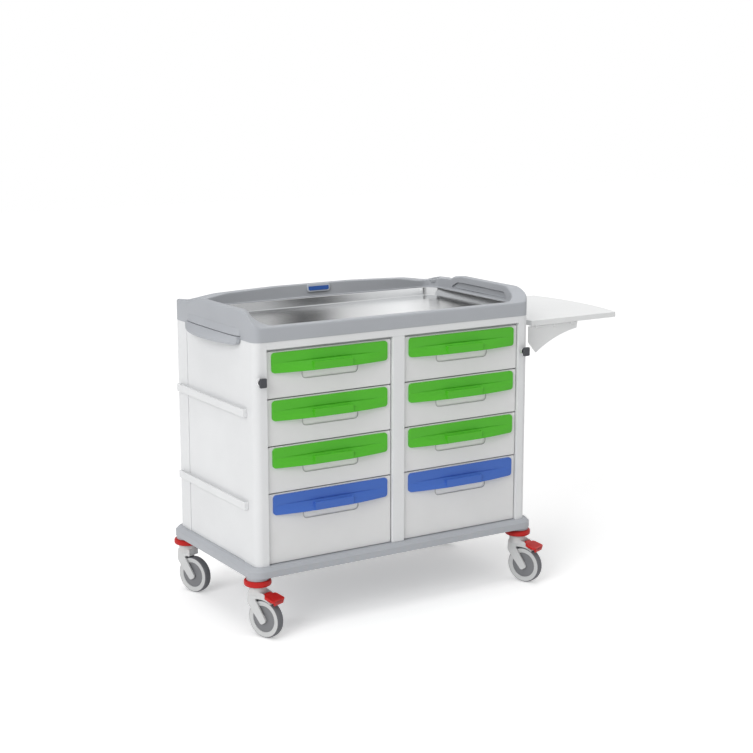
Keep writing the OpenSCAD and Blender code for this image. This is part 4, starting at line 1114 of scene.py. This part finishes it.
# Half sections of a wheel: radius, place along the axle and corner radius, in millimetres
TYRE_CORNERS = ((57, -11, 0), (59.2, -14.2, 0.8), (61.2, -11.6, 2), (62.5, -7.5, 4),
                (62.5, 7.5, 4), (61.2, 11.6, 2), (59.2, 14.2, 0.8), (57, 11, 0))
SIDE_RING_CORNERS = ((43.5, -12.4, 1.2), (59, -14.3, 1.2), (59, 14.3, 1.2), (43.5, 12.4, 1.2))
HUB_CORNERS = ((4.1, -15.4, 0.4), (13, -15.4, 1.5), (14, -11, 1.5), (43.8, -10.4, 0.4),
               (43.8, 10.4, 0.4), (14, 11, 1.5), (13, 15.4, 1.5), (4.1, 15.4, 0.4))


def caster_frame(caster):
    """Caster's place and turn, with its wheel towards -Y, and how far its axle trails."""
    pin = Vector(JOINT_AT[f"{caster}_swivel"]["pos_m"])
    axle = Vector(JOINT_AT[f"{caster}_roll"]["pos_m"])
    way = (axle - pin).xy
    turn = math.atan2(way.x, -way.y)
    return Matrix.Translation((pin.x, pin.y, 0)) @ Matrix.Rotation(turn, 4, "Z"), way.length


def axle_frame(caster):
    """Place of a caster's axle, with Z along it."""
    place, trail = caster_frame(caster)
    return place @ Matrix.Translation((0, -trail, WHEEL_R)) @ Matrix.Rotation(math.pi / 2, 4, "Y")


def rounded_lathe(corners):
    """Section of (radius, height, corner radius) in millimetres, turned about Z."""
    return lathe(filleted([(u * MM, v * MM, r * MM) for u, v, r in corners]))


def wheel(caster):
    """Tyre, pale side ring and sunk hub disc of a wheel."""
    node = f"{caster}_wheel"
    lie = axle_frame(caster)
    finished(f"{caster}_tyre", moved(rounded_lathe(TYRE_CORNERS), lie), TYRE, node, node)
    finished(f"{caster}_ring", moved(rounded_lathe(SIDE_RING_CORNERS), lie), WHEEL_RING, node)
    finished(f"{caster}_hub", moved(rounded_lathe(HUB_CORNERS), lie), HUB_DISC, node)


# Side view of crown and arms: y, z and corner radius, in millimetres
ARM_CORNERS = ((24, 153, 10), (27, 110, 22), (-30, 44.7, 9), (-50.6, 58.8, 9), (-2.65, 129, 6),
               (-28.5, 129, 2), (-28.5, 153, 3))
# Half section of the neck with its groove: radius, height and corner radius, in millimetres
NECK_CORNERS = ((0, 140, 0), (28.5, 140, 0), (28.5, 164, 0.6), (27.2, 164.6, 0.3), (27.2, 166.4, 0.3),
                (28.5, 167, 0.6), (28.5, 187.4, 0.5), (0, 187.4, 0))
# Degrees ahead of the wheel's top
HOOD_FIRST, HOOD_LAST = -8, 32
HOOD_STEPS = 12
HOOD_T = 4 * MM
HOOD_HALF = FORK_OUT - 1 * MM
CHEEK_FIRST = -4
CHEEK_STEPS = 10
CHEEK_T = 4.6 * MM
# Upper edge of a cheek, in y and z in millimetres
CHEEK_TOP = ((-70, 121.5), (-59, 128), (-49, 135), (-44, 146), (-38, 149.5), (-28, 151))


def wheel_arc(trail, radius, angles):
    """Points round the wheel at these angles ahead of its top, in y and z."""
    return [(-trail - radius * math.sin(a), WHEEL_R + radius * math.cos(a)) for a in angles]


def hood_outline(trail):
    """Band that follows the wheel, in y and z."""
    angles = swept(HOOD_FIRST, HOOD_LAST, HOOD_STEPS)
    return wheel_arc(trail, HOUSING_R, angles) + wheel_arc(trail, HOUSING_R + HOOD_T, angles[::-1])


def cheek_outline(trail):
    """Side of the housing between the crown, the pedal's pivot and the tip of the hood, in y and z."""
    arc = wheel_arc(trail, HOUSING_R, swept(CHEEK_FIRST, HOOD_LAST, CHEEK_STEPS))
    return arc + [(u * MM, v * MM) for u, v in CHEEK_TOP]


def fork(caster):
    """Neck, crown and arms, with the housing over the wheel on a caster that has a pedal."""
    node = f"{caster}_fork"
    place, trail = caster_frame(caster)
    outline = filleted([(u * MM, v * MM, r * MM) for u, v, r in ARM_CORNERS])
    arms = moved(extruded(outline, -FORK_OUT, FORK_OUT), place)
    body = finished(f"{caster}_arms", arms, FORK_GREY, node, node)
    slot = lathe([(0, -FORK_IN), (HOUSING_R, -FORK_IN), (HOUSING_R, FORK_IN), (0, FORK_IN)])
    round_edges(cut_away(body, moved(slot, axle_frame(caster))), 2 * MM, 3)
    finished(f"{caster}_neck", moved(rounded_lathe(NECK_CORNERS), place), FORK_GREY, node)
    if f"{caster}_pedal" in frame["nodes"]:
        hood = moved(extruded(hood_outline(trail), -HOOD_HALF, HOOD_HALF), place)
        round_edges(finished(f"{caster}_hood", hood, FORK_GREY, node), 0.8 * MM, 2)
        for side, x in (("l", -FORK_OUT), ("r", FORK_OUT - CHEEK_T)):
            cheek = moved(extruded(cheek_outline(trail), x, x + CHEEK_T), place)
            round_edges(finished(f"{caster}_cheek_{side}", cheek, FORK_GREY, node), 1.2 * MM, 2)


PEDAL_START, PEDAL_END = 9 * MM, 53 * MM
PEDAL_HALF = 29 * MM
PEDAL_ROUND = 9 * MM
PEDAL_T = 8 * MM
PEDAL_SLOPE = math.radians(14)
PEDAL_RIBS = 6
# How far the first rib lies from the pedal's start, and what all the ribs leave free along it
RIB_FIRST, RIB_FREE = 6 * MM, 16 * MM
RIB_BLOCK = (2 * PEDAL_HALF - 10 * MM, 2 * MM, 1.6 * MM)
# Side view of the flap: y from the pedal's end, z from its top and corner radius, in millimetres
FLAP_CORNERS = ((0, 0, 2), (9, -1, 1), (8, -8, 3), (3, -17, 2), (0, -17, 2))


def pedal_frame(caster):
    """Pivot of a pedal, with the pedal towards -Y and sloping down."""
    turn = caster_frame(caster)[0].to_3x3().to_4x4()
    pivot = Vector(JOINT_AT[f"{caster}_brake"]["pos_m"])
    return Matrix.Translation(pivot) @ turn @ Matrix.Rotation(PEDAL_SLOPE, 4, "X")


def pedal(caster):
    """Ribbed pedal with a flap bent down at its outer end."""
    node = f"{caster}_pedal"
    lie = pedal_frame(caster)
    softened(node, PEDAL_RED, 1.5 * MM, 3)
    top = PEDAL_T - 2 * MM
    step = (PEDAL_END - PEDAL_START - RIB_FREE) / (PEDAL_RIBS - 1)
    ribs = grown(ROW, Count=PEDAL_RIBS, First=(0, -PEDAL_START - RIB_FIRST, top), Step=(0, -step, 0),
                 Block=RIB_BLOCK, Finish=PEDAL_RED)
    finished(f"{caster}_pedal_ribs", moved(ribs, lie), PEDAL_RED, node)
    end = filleted([(u * MM - PEDAL_END, v * MM + top, r * MM) for u, v, r in FLAP_CORNERS])
    half = PEDAL_HALF - PEDAL_ROUND + 2 * MM
    flap = finished(f"{caster}_pedal_flap", moved(extruded(end, -half, half), lie), PEDAL_RED, node)
    round_edges(flap, 2 * MM, 3, 50)


# Radii inside and outside, and the gap above and below, in millimetres
BUMPER_IN, BUMPER_OUT, BUMPER_GAP = 29.5, 44.5, 0.2


def bumper_rings():
    """Red rings round the casters' necks, below the base."""
    low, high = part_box("bumper_rings")
    foot, top = BUMPER_GAP, (high.z - low.z) / MM - BUMPER_GAP
    profile = [(BUMPER_IN, foot, 4), (BUMPER_OUT, foot, 10), (BUMPER_OUT, top, 10), (BUMPER_IN, top, 4)]
    rings = []
    for caster in CASTERS:
        x, y, _ = JOINT_AT[f"{caster}_swivel"]["pos_m"]
        rings.append(moved(rounded_lathe(profile), Matrix.Translation((x, y, low.z))))
    finished("bumper_tori", joined(*rings), RING_RED, "bumper_rings", "bumper_rings")


for caster in CASTERS:
    wheel(caster)
    fork(caster)
    if f"{caster}_pedal" in frame["nodes"]:
        pedal(caster)
bumper_rings()
